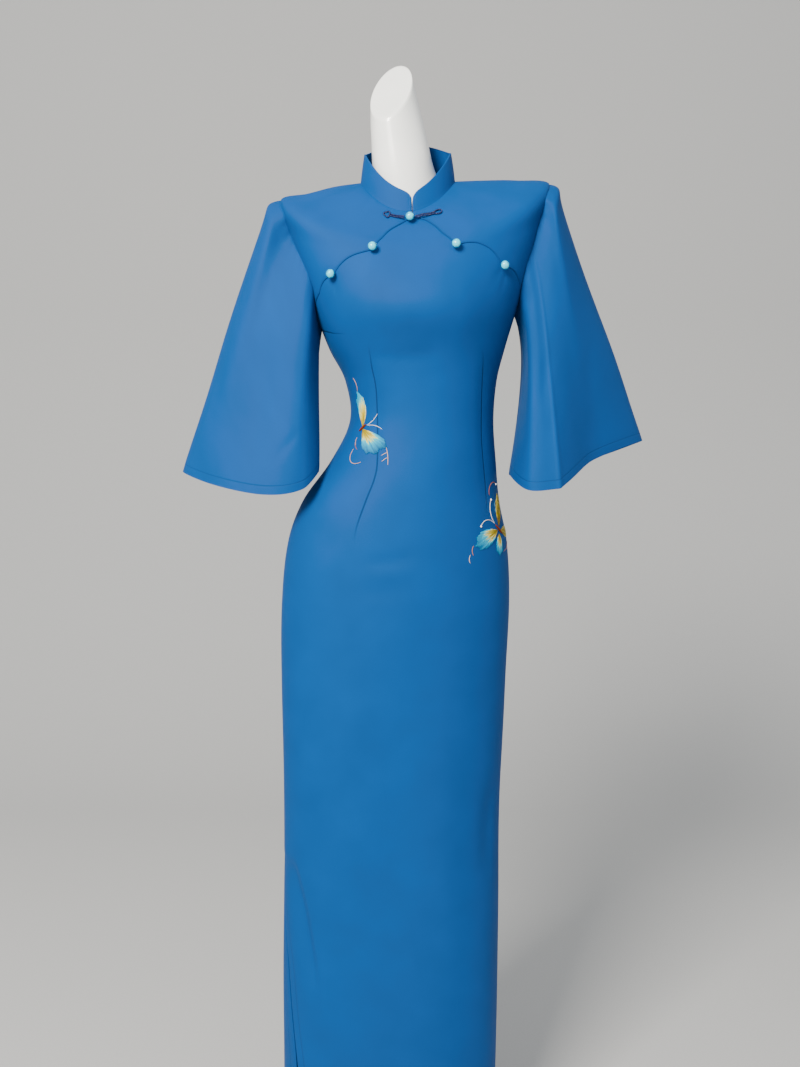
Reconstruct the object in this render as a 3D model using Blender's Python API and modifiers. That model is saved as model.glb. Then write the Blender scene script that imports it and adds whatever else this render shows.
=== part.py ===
"""Cheongsam dress standing on a limbless dress form.

Metres, +Z up. The origin is the middle of the stand's underside. The dress faces -Y.
Every cloth piece is a thin wall cut from one body surface, which is a stack of tilted
rings. A place on that surface has a turn (degrees round the body from the centre
front, + towards +X) and a level (metres up the side seam and on over the shoulder).
"""
import math
from collections import namedtuple

import bmesh
import bpy
from mathutils import Vector

# ---------------------------------------------------------------- driving sizes
WALL = 0.0012
COLLAR_WALL = 0.0018
SEAM_GAP = 0.0005
REST_GAP = 0.0003
SLEEVE_GAP = 0.0005
SLEEVE_LIFT = 0.0005

HEM = 0.100
ARMPIT = {-1: 1.262, 1: 1.282}
ARMPIT_BLEND = 1.130
SEAM_SWING = 1.3
SHOULDER_END = 1.420
NECKLINE = 1.530
SLIT_TOP = 0.500

FORM_GAP = 0.0062
FORM_BOTTOM = 0.800

BUTTON_RADIUS = 0.0062
COLLAR_BUTTON_RADIUS = 0.0060
BUTTON_SQUASH = 0.92
PIPING_RADIUS = 0.0011
PIPING_END = 0.0018
PIPING_SLEEVE_END = 0.0060
CORD_RADIUS = 0.0009

POLE_RADIUS = 0.0125
BASE_RADIUS = 0.160
BASE_HEIGHT = 0.018
BASE_EDGE = 0.004
BASE_STEPS = 48
POLE_STEPS = 24

# ---------------------------------------------------------------- body surface
# height: of the ring at the side seams; tilt: the +X side higher by this;
# front_rise, back_rise: height at centre front and back over that of the sides.
Ring = namedtuple(
    "Ring", "level height tilt front_rise back_rise centre half_width front back square turn")
BODY = [Ring(*row) for row in (
    (0.100, 0.100, 0.000, 0.000, 0.000, -0.004, 0.1592, 0.098, 0.105, 2.25, 0.0),
    (0.300, 0.300, 0.000, 0.000, 0.000, -0.002, 0.1604, 0.100, 0.110, 2.25, 0.0),
    (0.573, 0.573, 0.000, 0.000, 0.000, 0.000, 0.1594, 0.102, 0.119, 2.20, 0.0),
    (0.754, 0.754, 0.000, 0.000, 0.000, 0.003, 0.1637, 0.106, 0.127, 2.15, 1.0),
    (0.873, 0.873, 0.000, 0.000, 0.000, 0.006, 0.1657, 0.108, 0.130, 2.10, 2.0),
    (0.961, 0.961, 0.000, 0.000, 0.000, 0.009, 0.1582, 0.106, 0.120, 2.10, 3.0),
    (1.019, 1.019, 0.000, 0.000, 0.000, 0.0145, 0.1415, 0.101, 0.106, 2.10, 4.0),
    (1.077, 1.077, 0.000, 0.000, 0.000, 0.0324, 0.1182, 0.093, 0.089, 2.10, 5.5),
    (1.134, 1.134, 0.000, 0.000, 0.000, 0.0438, 0.1030, 0.086, 0.079, 2.15, 6.0),
    (1.191, 1.191, 0.000, 0.000, 0.000, 0.0422, 0.1085, 0.091, 0.085, 2.20, 4.0),
    (1.233, 1.233, 0.000, 0.000, 0.000, 0.0364, 0.1243, 0.100, 0.095, 2.25, 2.0),
    (1.276, 1.276, 0.000, 0.000, 0.000, 0.0342, 0.1389, 0.110, 0.104, 2.30, 1.0),
    (1.320, 1.335, 0.002, -0.020, -0.010, 0.0335, 0.1580, 0.109, 0.109, 2.30, 0.5),
    (1.370, 1.405, 0.007, -0.057, -0.030, 0.0330, 0.1780, 0.101, 0.108, 2.25, 0.0),
    (1.420, 1.4535, 0.011, -0.085, -0.045, 0.0335, 0.1890, 0.093, 0.101, 2.15, 0.0),
    (1.455, 1.4605, 0.009, -0.077, -0.030, 0.0290, 0.1465, 0.084, 0.089, 2.05, 0.0),
    (1.490, 1.4650, 0.004, -0.065, -0.008, 0.0250, 0.1050, 0.074, 0.073, 2.00, 0.0),
    (1.530, 1.4670, 0.001, -0.050, 0.018, 0.0232, 0.0662, 0.064, 0.056, 2.00, 0.0),
)]
SHOULDER_ROUNDING = 1.7
BUST_APEX = 0.056
BUST_HEIGHT = 1.285
BUST_SPREAD = 0.043
BUST_DEPTH = 0.011

# ---------------------------------------------------------------- seams, as x and z
Place = namedtuple("Place", "x z")


def places(*pairs):
    return [Place(*pair) for pair in pairs]


ARMHOLE_FRONT = {
    -1: places((-0.1490, 1.4200), (-0.1396, 1.3897), (-0.1232, 1.3528), (-0.1118, 1.3262),
               (-0.1062, 1.3000)),
    1: places((0.2150, 1.4420), (0.2080, 1.4150), (0.1967, 1.3740), (0.1870, 1.3450),
              (0.1800, 1.3120)),
}
# behind the arm: degrees round from the side, and the level
ARMHOLE_BACK = ((12.0, 1.405), (20.0, 1.370), (23.0, 1.335), (15.0, 1.295))
# Each lapel edge runs from the centre front out to the armhole in three lobes.
CENTRE_TOP = Place(0.0300, 1.4080)
LAPEL = {
    -1: (places((0.0184, 1.4010), (-0.0012, 1.3890), (-0.0140, 1.3755), (-0.0238, 1.3608)),
         places((-0.0340, 1.3585), (-0.0500, 1.3540), (-0.0630, 1.3465), (-0.0715, 1.3375),
                (-0.0768, 1.3290)),
         places((-0.0885, 1.3240), (-0.0950, 1.3155), (-0.0985, 1.3060))),
    1: (places((0.0460, 1.4035), (0.0602, 1.3941), (0.0755, 1.3795), (0.0868, 1.3648)),
        places((0.0965, 1.3695), (0.1110, 1.3710), (0.1260, 1.3670), (0.1395, 1.3575),
               (0.1490, 1.3410)),
        places((0.1590, 1.3405), (0.1685, 1.3360), (0.1745, 1.3275))),
}
FROG_MIDDLE = Place(0.0256, 1.4026)
FROG_LIFT = 0.0015
FROG_RISE = 0.0023
FROG_STEP = 0.012
FROG = {
    -1: places((0.0182, 1.4058), (0.0104, 1.4078), (0.0005, 1.4104), (-0.0019, 1.4112),
               (-0.0014, 1.4131), (-0.0025, 1.4146), (-0.0047, 1.4144), (-0.0061, 1.4136),
               (-0.0077, 1.4136), (-0.0101, 1.4120), (-0.0088, 1.4095), (-0.0074, 1.4087),
               (-0.0066, 1.4074), (-0.0048, 1.4061), (-0.0031, 1.4068), (-0.0026, 1.4087),
               (-0.0001, 1.4082), (0.0098, 1.4056), (0.0176, 1.4035)),
    1: places((0.0336, 1.4039), (0.0453, 1.4075), (0.0571, 1.4111), (0.0612, 1.4113),
              (0.0658, 1.4120), (0.0685, 1.4142), (0.0682, 1.4166), (0.0655, 1.4177),
              (0.0617, 1.4166), (0.0587, 1.4145), (0.0554, 1.4130), (0.0447, 1.4097),
              (0.0329, 1.4061)),
}
LOBE_COLUMNS = (6, 5, 4)
ARMHOLE_STEPS = 15
LAPEL_STEP = 3
SHOULDER_COLUMNS = 6
NECK_FRONT_COLUMNS = sum(LOBE_COLUMNS) - SHOULDER_COLUMNS
NECK_BACK_COLUMNS = 14
FRONT_BOW = 0.35
BACK_BOW = 0.45
OPENING_TURN = 5.0
HALF_OPENING_TURN = 0.6
SIDE_LEVELS = (0.100, 0.200, 0.300, 0.400, 0.500, 0.600, 0.700, 0.780, 0.840, 0.890, 0.935,
               0.975, 1.010, 1.042, 1.072, 1.102, 1.132, 1.162, 1.190, 1.216, 1.240, 1.262)

# Below the slit top the edges part: degrees each edge stands from the side seam,
# + towards the front.
Slit = namedtuple("Slit", "level front_left back_left front_right back_right")
SLIT = [Slit(*row) for row in (
    (0.100, 47.0, 33.0, 3.0, -9.0),
    (0.190, 46.0, 30.0, 3.0, -8.0),
    (0.330, 41.0, 19.0, 2.0, -5.0),
    (0.430, 26.0, 8.0, 1.0, -2.0),
    (0.500, 0.0, 0.0, 0.0, 0.0),
    (0.600, 0.0, 0.0, 0.0, 0.0),
)]

# ---------------------------------------------------------------- sleeves
# A rib leaves the armhole along (out, forward, drop) and falls straight to its hem
# point. around: share of the armhole loop, 0 at the shoulder, 0.5 under the arm.
Rib = namedtuple("Rib", "around out forward drop hem_x hem_y hem_z")
SLEEVE = {
    -1: [Rib(*row) for row in (
        (0.000, 0.021, 0.000, 0.009, -0.3030, 0.012, 1.0600),
        (0.125, 0.026, 0.014, 0.030, -0.2500, -0.052, 1.0440),
        (0.250, 0.018, 0.016, 0.060, -0.1760, -0.086, 1.0320),
        (0.375, 0.004, 0.018, 0.060, -0.1215, -0.083, 1.0390),
        (0.440, -0.002, 0.006, 0.050, -0.1010, -0.057, 1.0620),
        (0.500, 0.006, 0.000, 0.030, -0.1110, -0.026, 1.0580),
        (0.625, 0.014, -0.014, 0.060, -0.1260, 0.056, 1.0480),
        (0.750, 0.022, -0.014, 0.060, -0.1800, 0.092, 1.0400),
        (0.875, 0.028, -0.014, 0.030, -0.2500, 0.070, 1.0480),
    )],
    1: [Rib(*row) for row in (
        (0.000, 0.010, 0.000, 0.010, 0.3740, 0.055, 1.1040),
        (0.125, 0.016, 0.014, 0.030, 0.2860, -0.020, 1.0760),
        (0.250, 0.014, 0.012, 0.070, 0.2330, -0.084, 1.0400),
        (0.375, 0.014, 0.010, 0.080, 0.1880, -0.066, 1.0380),
        (0.500, 0.022, 0.000, 0.060, 0.1690, -0.006, 1.0560),
        (0.625, 0.016, -0.008, 0.080, 0.1850, 0.060, 1.0500),
        (0.750, 0.018, -0.012, 0.070, 0.2400, 0.098, 1.0560),
        (0.875, 0.019, -0.014, 0.030, 0.3150, 0.100, 1.0780),
    )],
}
SLEEVE_ROWS = 12
SLEEVE_ROW_SPREAD = 1.15
CORNER_PULL = 0.08
CAP_PUFF = 0.009
CAP_PUFF_LEVEL = 0.14

# ---------------------------------------------------------------- collar, form, stand
# height and lean inward of the collar's top edge over its base, by turn from the front
CollarTop = namedtuple("CollarTop", "turn rise lean")
COLLAR_TOP = [CollarTop(*row) for row in (
    (0.0, 0.0215, 0.0020),
    (14.0, 0.0280, 0.0030),
    (45.0, 0.0345, 0.0045),
    (90.0, 0.0390, 0.0055),
    (135.0, 0.0430, 0.0065),
    (180.0, 0.0450, 0.0070),
)]
COLLAR_CORNER_TURN = 8.0
COLLAR_CORNER_DROP = 0.008
COLLAR_ROWS = 4
COLLAR_LEAN_START = 1.3

NeckRing = namedtuple("NeckRing", "height tilt slope centre middle half_width depth")
FORM_NECK = [NeckRing(*row) for row in (
    (1.4580, 0.001, 0.030, 0.0205, -0.001, 0.0500, 0.0455),
    (1.4850, 0.003, 0.034, 0.0160, -0.003, 0.0430, 0.0425),
    (1.5200, 0.007, 0.038, 0.0110, -0.005, 0.0385, 0.0415),
    (1.5600, 0.012, 0.041, 0.0045, -0.005, 0.0335, 0.0405),
    (1.5900, 0.0165, 0.043, 0.0000, -0.005, 0.0290, 0.0400),
)]
FORM_LEVELS = (0.815, 0.860, 0.910, 0.960, 1.000, 1.040, 1.075, 1.110, 1.145, 1.180, 1.215,
               1.250, 1.285, 1.320, 1.350, 1.380, 1.405, 1.425, 1.450, 1.475, 1.500)
FORM_COLUMNS = 28

MATERIALS = {
    "crepe": ((0.030, 0.150, 0.360), 0.78, 0.0),
    "cord": ((0.010, 0.025, 0.110), 0.60, 0.0),
    "button": ((0.350, 0.800, 0.860), 0.25, 0.0),
    "form": ((0.860, 0.850, 0.820), 0.30, 0.0),
    "steel": ((0.600, 0.600, 0.600), 0.30, 1.0),
    "base": ((0.820, 0.820, 0.800), 0.40, 0.0),
}


# ---------------------------------------------------------------- smooth tables
def smooth_row(rows, at):
    """A row between two rows of a table, on smooth curves through its columns."""
    keys = [row[0] for row in rows]
    at = min(max(at, keys[0]), keys[-1])
    low = max(i for i in range(len(rows) - 1) if keys[i] <= at)
    step = keys[low + 1] - keys[low]
    share = (at - keys[low]) / step
    before, after = max(low - 1, 0), min(low + 2, len(rows) - 1)
    weights = (2 * share ** 3 - 3 * share ** 2 + 1, share ** 3 - 2 * share ** 2 + share,
               3 * share ** 2 - 2 * share ** 3, share ** 3 - share ** 2)
    values = []
    for a, b, c, d in zip(rows[before], rows[low], rows[low + 1], rows[after]):
        start = (c - a) / (keys[low + 1] - keys[before]) * step
        end = (d - b) / (keys[after] - keys[low]) * step
        values.append(weights[0] * b + weights[1] * start + weights[2] * c + weights[3] * end)
    return type(rows[low])(*values)


def body_point(turn, level):
    """The point of the body surface at a turn in degrees and a level."""
    ring = smooth_row(BODY, level)
    side = math.sin(math.radians(turn))
    front = math.cos(math.radians(turn))
    radius = (abs(side) ** ring.square + abs(front) ** ring.square) ** (-1 / ring.square)
    across = ring.half_width * side * radius
    depth, rise = (ring.front, ring.front_rise) if front > 0 else (ring.back, ring.back_rise)
    along = -depth * front * radius
    height = ring.height + ring.tilt * side + rise * abs(front) ** SHOULDER_ROUNDING
    if front > 0:
        beyond = max(abs(across) - BUST_APEX, 0.0)
        reach = (beyond ** 2 + (height - BUST_HEIGHT) ** 2) / BUST_SPREAD ** 2
        along -= BUST_DEPTH * front * math.exp(-reach)
    yaw = math.radians(ring.turn)
    return Vector((ring.centre + across * math.cos(yaw) - along * math.sin(yaw),
                   across * math.sin(yaw) + along * math.cos(yaw), height))


def body_normal(turn, level):
    """The outward normal of the body surface."""
    inside = min(max(level, HEM + 0.001), NECKLINE - 0.001)
    across = body_point(turn + 0.3, inside) - body_point(turn - 0.3, inside)
    up = body_point(turn, inside + 0.001) - body_point(turn, inside - 0.001)
    return across.cross(up).normalized()


def solve(seen, aim, mark):
    """The mark at which seen(mark) meets an aim, by Newton's steps from a first guess."""
    turn_step, level_step = Vector((0.05, 0.0)), Vector((0.0, 0.0002))
    for _ in range(14):
        here = seen(mark)
        by_turn = (seen(mark + turn_step) - here) / turn_step.x
        by_level = (seen(mark + level_step) - here) / level_step.y
        miss = aim - here
        size = by_turn.x * by_level.y - by_turn.y * by_level.x
        if abs(size) < 1e-9:
            break
        turn = (miss.x * by_level.y - miss.y * by_level.x) / size
        level = (by_turn.x * miss.y - by_turn.y * miss.x) / size
        mark = mark + Vector((max(min(turn, 6.0), -6.0), max(min(level, 0.02), -0.02)))
        mark.y = min(max(mark.y, HEM), NECKLINE)
    return mark


def seen_ahead(mark):
    """x and z of a mark on the body."""
    return body_point(*mark).xz


def laid_flat(mark):
    """The way across the body from the middle of its ring, and the height."""
    ring = smooth_row(BODY, mark.y)
    return Vector((ring.centre + ring.half_width * mark.x / 90.0, body_point(*mark).z))


def locate(place):
    """The mark on the front of the body that has a place's x and z."""
    aim = Vector(place)
    guesses = [Vector((5.5 * turn, 0.05 * level))
               for turn in range(-16, 17) for level in range(2, 31)]
    return solve(seen_ahead, aim, min(guesses, key=lambda mark: (seen_ahead(mark) - aim).length))


def gather(aim):
    """The mark on the front of the body that lies at a place when laid flat."""
    ring = smooth_row(BODY, aim.y)
    return solve(laid_flat, aim, Vector((90.0 * (aim.x - ring.centre) / ring.half_width, aim.y)))


def smooth_line(marks, fine=12):
    """Marks joined by a smooth curve, as a longer list of marks."""
    line = []
    for i in range(len(marks) - 1):
        before, start = marks[max(i - 1, 0)], marks[i]
        end, after = marks[i + 1], marks[min(i + 2, len(marks) - 1)]
        for step in range(fine):
            s = step / fine
            line.append(0.5 * (2 * start + (end - before) * s
                               + (2 * before - 5 * start + 4 * end - after) * s ** 2
                               + (3 * start - before - 3 * end + after) * s ** 3))
    return line + [marks[-1]]


def even_marks(marks, count):
    """count + 1 marks, evenly spaced over the body along a smooth curve."""
    line = smooth_line(marks)
    points = [body_point(*mark) for mark in line]
    lengths = [0.0]
    for a, b in zip(points, points[1:]):
        lengths.append(lengths[-1] + (b - a).length)
    result = []
    for step in range(count + 1):
        target = lengths[-1] * step / count
        i = max(k for k in range(len(line) - 1) if lengths[k] <= target + 1e-12)
        share = (target - lengths[i]) / max(lengths[i + 1] - lengths[i], 1e-12)
        result.append(line[i].lerp(line[i + 1], min(share, 1.0)))
    return result


# ---------------------------------------------------------------- seam lines
def armhole(side):
    """Marks round an armhole: up the front from the armpit, then down the back."""
    pit = Vector((90.0 * side, ARMPIT[side]))
    top = Vector((90.0 * side, SHOULDER_END))
    front = [locate(place) for place in reversed(ARMHOLE_FRONT[side])]
    back = [Vector(((90.0 + turn) * side, level)) for turn, level in ARMHOLE_BACK]
    up = even_marks([pit] + front + [top], ARMHOLE_STEPS)
    down = even_marks([top] + back + [pit], ARMHOLE_STEPS)
    return up, down


def lapel_line(side, end):
    """Marks of a lapel edge, from the centre front out to its end on the armhole."""
    marks = [locate(CENTRE_TOP)]
    for lobe, count in zip(LAPEL[side], LOBE_COLUMNS):
        corner = [marks[-1]] + [locate(place) for place in lobe]
        if lobe is LAPEL[side][-1]:
            corner.append(end)
        marks += even_marks(corner, count)[1:]
    return marks


def slit_turn(level, side, panel):
    """How far a panel's edge stands from the side seam at a level, in degrees."""
    if level >= SLIT_TOP:
        return 0.0
    row = smooth_row(SLIT, level)
    return getattr(row, panel + ("_left" if side < 0 else "_right"))


def seam_turn(level, side):
    """The left side seam swings back where the waist is turned, and stays at the side."""
    return SEAM_SWING * smooth_row(BODY, level).turn if side < 0 else 0.0


def side_edge(side, panel):
    """Marks up a panel's side edge, from the hem to the armpit."""
    base = 90.0 * side if panel == "front" or side > 0 else 270.0
    top = SIDE_LEVELS[-1]
    edge = []
    for level in SIDE_LEVELS:
        blend = max((level - ARMPIT_BLEND) / (top - ARMPIT_BLEND), 0.0)
        raised = level + (ARMPIT[side] - top) * blend
        turn = base - side * slit_turn(raised, side, panel) - seam_turn(raised, side)
        edge.append(Vector((turn, raised)))
    return edge


# ---------------------------------------------------------------- patches
def patch(left, right, bottom, top, top_reach=lambda up: up, shares=None):
    """A net of marks between four edges; the top edge's shape fades out downwards."""
    rows, columns = len(left), len(top)
    shares = shares or [i / (columns - 1) for i in range(columns)]
    net = []
    for j in range(rows):
        up = j / (rows - 1)
        row = []
        for i, share in enumerate(shares):
            mark = left[j].lerp(right[j], share)
            mark += top_reach(up) * (top[i] - left[-1].lerp(right[-1], share))
            if bottom:
                mark += (1 - up) * (bottom[i] - left[0].lerp(right[0], share))
            row.append(mark)
        net.append(row)
    return net


def even(first, last, count):
    return [first.lerp(last, i / count) for i in range(count + 1)]


def pull_in(net, sides):
    """Draw the named sides of a net in by half a seam's gap, square to each side."""
    rows, columns = len(net), len(net[0])
    loop = [(0, i, "bottom") for i in range(columns - 1)]
    loop += [(j, columns - 1, "right") for j in range(rows - 1)]
    loop += [(rows - 1, i, "top") for i in range(columns - 1, 0, -1)]
    loop += [(j, 0, "left") for j in range(rows - 1, 0, -1)]
    moved = [[point.copy() for point in row] for row in net]
    for k, (j, i, side) in enumerate(loop):
        before, after = loop[k - 1], loop[(k + 1) % len(loop)]
        across = net[j][min(i + 1, columns - 1)] - net[j][max(i - 1, 0)]
        up = net[min(j + 1, rows - 1)][i] - net[max(j - 1, 0)][i]
        normal = across.cross(up).normalized()
        last = normal.cross(net[j][i] - net[before[0]][before[1]]).normalized()
        following = normal.cross(net[after[0]][after[1]] - net[j][i]).normalized()
        last_gap = SEAM_GAP / 2 if before[2] in sides else 0.0
        next_gap = SEAM_GAP / 2 if side in sides else 0.0
        cosine = last.dot(following)
        if cosine > 0.95:
            moved[j][i] += (last + following) / 2 * max(last_gap, next_gap)
        else:
            share = 1 - cosine * cosine
            moved[j][i] += (last * (last_gap - cosine * next_gap)
                            + following * (next_gap - cosine * last_gap)) / share
    return moved


# ---------------------------------------------------------------- makers
def make_material(name):
    colour, roughness, metallic = MATERIALS[name.split(".")[0]]
    material = bpy.data.materials.new(name)
    material.use_nodes = True
    shader = material.node_tree.nodes["Principled BSDF"]
    shader.inputs["Base Color"].default_value = (*colour, 1.0)
    shader.inputs["Roughness"].default_value = roughness
    shader.inputs["Metallic"].default_value = metallic
    material.diffuse_color = (*colour, 1.0)
    return material


def add_object(name, data, finish):
    data.materials.append(make_material(finish + "." + name))
    piece = bpy.data.objects.new(name, data)
    PARTS.objects.link(piece)
    return piece


def add_mesh(name, shape, finish):
    mesh = bpy.data.meshes.new(name)
    shape.to_mesh(mesh)
    shape.free()
    mesh.shade_smooth()
    mesh.set_sharp_from_angle(angle=math.radians(40))
    return add_object(name, mesh, finish)


def net_shape(net):
    """A surface of quads through a net of points that closes on itself round its rows."""
    shape = bmesh.new()
    rows = [[shape.verts.new(point) for point in row] for row in net]
    for low, high in zip(rows, rows[1:]):
        for i in range(len(low)):
            shape.faces.new((low[i - 1], low[i], high[i], high[i - 1]))
    return shape


def net_normals(net, closed=False):
    """The normals of a net of points."""
    rows, columns = len(net), len(net[0])
    normals = []
    for j in range(rows):
        above, below = net[min(j + 1, rows - 1)], net[max(j - 1, 0)]
        row = []
        for i in range(columns):
            after = (i + 1) % columns if closed else min(i + 1, columns - 1)
            before = i - 1 if closed else max(i - 1, 0)
            across = net[j][after] - net[j][before]
            row.append(across.cross(above[i] - below[i]).normalized())
        normals.append(row)
    return normals


def make_cloth(name, net, normals, wall=WALL, closed=False):
    """A cloth wall: a net, its copy drawn in along the normals, and the rims between."""
    shape = bmesh.new()
    outer = [[shape.verts.new(point) for point in row] for row in net]
    inner = [[shape.verts.new(point - normal * wall) for point, normal in zip(*pair)]
             for pair in zip(net, normals)]
    columns, last = len(net[0]), len(net) - 1
    across = [(i, (i + 1) % columns) for i in range(columns if closed else columns - 1)]
    for i, k in across:
        for j in range(last):
            shape.faces.new((outer[j][i], outer[j][k], outer[j + 1][k], outer[j + 1][i]))
            shape.faces.new((inner[j][i], inner[j + 1][i], inner[j + 1][k], inner[j][k]))
        shape.faces.new((inner[0][i], inner[0][k], outer[0][k], outer[0][i]))
        shape.faces.new((outer[last][i], outer[last][k], inner[last][k], inner[last][i]))
    if not closed:
        for j in range(last):
            shape.faces.new((outer[j][0], outer[j + 1][0], inner[j + 1][0], inner[j][0]))
            shape.faces.new((inner[j][-1], inner[j + 1][-1], outer[j + 1][-1], outer[j][-1]))
    bmesh.ops.recalc_face_normals(shape, faces=shape.faces)
    return add_mesh(name, shape, "crepe")


def make_panel(name, marks, sides):
    """A wall cut from the body surface, with half a seam's gap along the named sides."""
    net = [[body_point(*mark) for mark in row] for row in marks]
    normals = [[body_normal(*mark) for mark in row] for row in marks]
    make_cloth(name, pull_in(net, sides), normals)


def make_tube(name, points, radius, finish, bevel=2):
    """A round cord through points, with filled ends."""
    curve = bpy.data.curves.new(name, "CURVE")
    curve.dimensions = "3D"
    curve.bevel_depth = radius
    curve.bevel_resolution = bevel
    curve.use_fill_caps = True
    spline = curve.splines.new("POLY")
    spline.points.add(len(points) - 1)
    for knot, point in zip(spline.points, points):
        knot.co = (*point, 1.0)
    return add_object(name, curve, finish)


def make_ball(name, centre, axis, radius):
    """A ball button, a little flat along its axis."""
    shape = bmesh.new()
    bmesh.ops.create_uvsphere(shape, u_segments=14, v_segments=9, radius=radius)
    bmesh.ops.scale(shape, vec=(1.0, 1.0, BUTTON_SQUASH), verts=shape.verts)
    turn = axis.to_track_quat("Z", "Y").to_matrix()
    bmesh.ops.rotate(shape, matrix=turn, verts=shape.verts)
    ball = add_mesh(name, shape, "button")
    ball.location = centre
    return ball


def make_turned(name, profile, steps, finish):
    """A round solid turned about Z from a profile of radius and height, top to bottom."""
    mesh = bpy.data.meshes.new(name)
    mesh.from_pydata([(radius, 0.0, height) for radius, height in profile],
                     [(i, i + 1) for i in range(len(profile) - 1)], [])
    piece = add_object(name, mesh, finish)
    screw = piece.modifiers.new("turned", "SCREW")
    screw.steps = screw.render_steps = steps
    screw.use_merge_vertices = True
    screw.merge_threshold = 0.00001
    return piece


# ---------------------------------------------------------------- the dress
def make_panels():
    """Front panel, two yokes and back panel."""
    armholes = {side: armhole(side) for side in (-1, 1)}
    lapels = {side: lapel_line(side, armholes[side][0][LAPEL_STEP]) for side in (-1, 1)}

    edges = {side: side_edge(side, "front") + armholes[side][0][1:LAPEL_STEP + 1]
             for side in (-1, 1)}
    top = [laid_flat(mark) for mark in lapels[-1][::-1] + lapels[1][1:]]
    left, right = [[laid_flat(mark) for mark in edges[side]] for side in (-1, 1)]
    shares = [(place.x - top[0].x) / (top[-1].x - top[0].x) for place in top]
    flat = patch(left, right, None, top, lambda up: fade(up, FRONT_BOW), shares)
    marks = [[gather(place) for place in row] for row in flat]
    make_panel("front_panel", marks, ("left", "right", "top"))

    for side, name in ((-1, "yoke_left"), (1, "yoke_right")):
        outer = armholes[side][0][LAPEL_STEP:]
        neck_point = Vector((90.0 * side, NECKLINE))
        neck_front = Vector((OPENING_TURN + HALF_OPENING_TURN * side, NECKLINE))
        seam = even(Vector((90.0 * side, SHOULDER_END)), neck_point, SHOULDER_COLUMNS)
        top = seam + even(neck_point, neck_front, NECK_FRONT_COLUMNS)[1:]
        inner = even(lapels[side][0], neck_front, len(outer) - 1)
        bottom = lapels[side][::-1]
        if side < 0:
            marks = patch(outer, inner, bottom, top)
        else:
            marks = patch(inner, outer, bottom[::-1], top[::-1])
        make_panel(name, marks, ("left", "right", "top", "bottom"))

    edges = {}
    for side in (-1, 1):
        shift = Vector((360.0 if side < 0 else 0.0, 0.0))
        down = [mark + shift for mark in armholes[side][1]]
        edges[side] = side_edge(side, "back") + down[::-1][1:]
    shoulder = {side: Vector((90.0 if side > 0 else 270.0, SHOULDER_END)) for side in (-1, 1)}
    neck = {side: Vector((90.0 if side > 0 else 270.0, NECKLINE)) for side in (-1, 1)}
    top = (even(shoulder[1], neck[1], SHOULDER_COLUMNS)
           + even(neck[1], neck[-1], NECK_BACK_COLUMNS)[1:]
           + even(neck[-1], shoulder[-1], SHOULDER_COLUMNS)[1:])
    marks = patch(edges[1], edges[-1], None, top, lambda up: fade(up, BACK_BOW))
    make_panel("back_panel", marks, ("left", "right", "top"))
    return armholes, lapels


def fade(up, start):
    """0 below a start, then rising to 1 at the top."""
    share = max((up - start) / (1 - start), 0.0)
    return (share * share * (3 - 2 * share) + share) / 2


def rib_at(ribs, around):
    """A rib between the rows of a sleeve's table, which closes on itself."""
    first = ribs[0]
    wrapped = ([Rib(row.around - 1, *row[1:]) for row in ribs[-2:]] + list(ribs)
               + [Rib(1.0, *first[1:]), Rib(1 + ribs[1].around, *ribs[1][1:])])
    return smooth_row(wrapped, around)


def make_sleeve(name, side, loop):
    """A bell sleeve from its armhole loop to its open hem."""
    up, down = loop
    marks = up[::-1] + down[::-1][1:-1]
    count = len(marks)
    columns = []
    for i, mark in enumerate(marks):
        rib = rib_at(SLEEVE[side], i / count)
        along = body_point(*marks[(i + 1) % count]) - body_point(*marks[i - 1])
        normal = body_normal(*mark)
        away = along.cross(normal).normalized() * -side
        start = body_point(*mark) + away * SLEEVE_GAP + normal * SLEEVE_LIFT
        corner = start + Vector((side * rib.out, -rib.forward, -rib.drop))
        hem = Vector((rib.hem_x, rib.hem_y, rib.hem_z))
        bend = corner.lerp(hem, CORNER_PULL)
        puff = side * CAP_PUFF * max(math.cos(math.tau * i / count), 0.0) ** 2
        column = []
        for j in range(SLEEVE_ROWS + 1):
            s = (j / SLEEVE_ROWS) ** SLEEVE_ROW_SPREAD
            r = 1 - s
            swell = (s / CAP_PUFF_LEVEL * math.exp(1 - s / CAP_PUFF_LEVEL)) ** 2
            column.append(start * r ** 3 + corner * 3 * r * r * s + bend * 3 * r * s * s
                          + hem * s ** 3 + Vector((puff * swell, 0.0, 0.0)))
        columns.append(column)
    if side < 0:
        columns.reverse()
    net = [[column[j] for column in columns] for j in range(SLEEVE_ROWS + 1)]
    make_cloth(name, net, net_normals(net, closed=True), closed=True)


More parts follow.
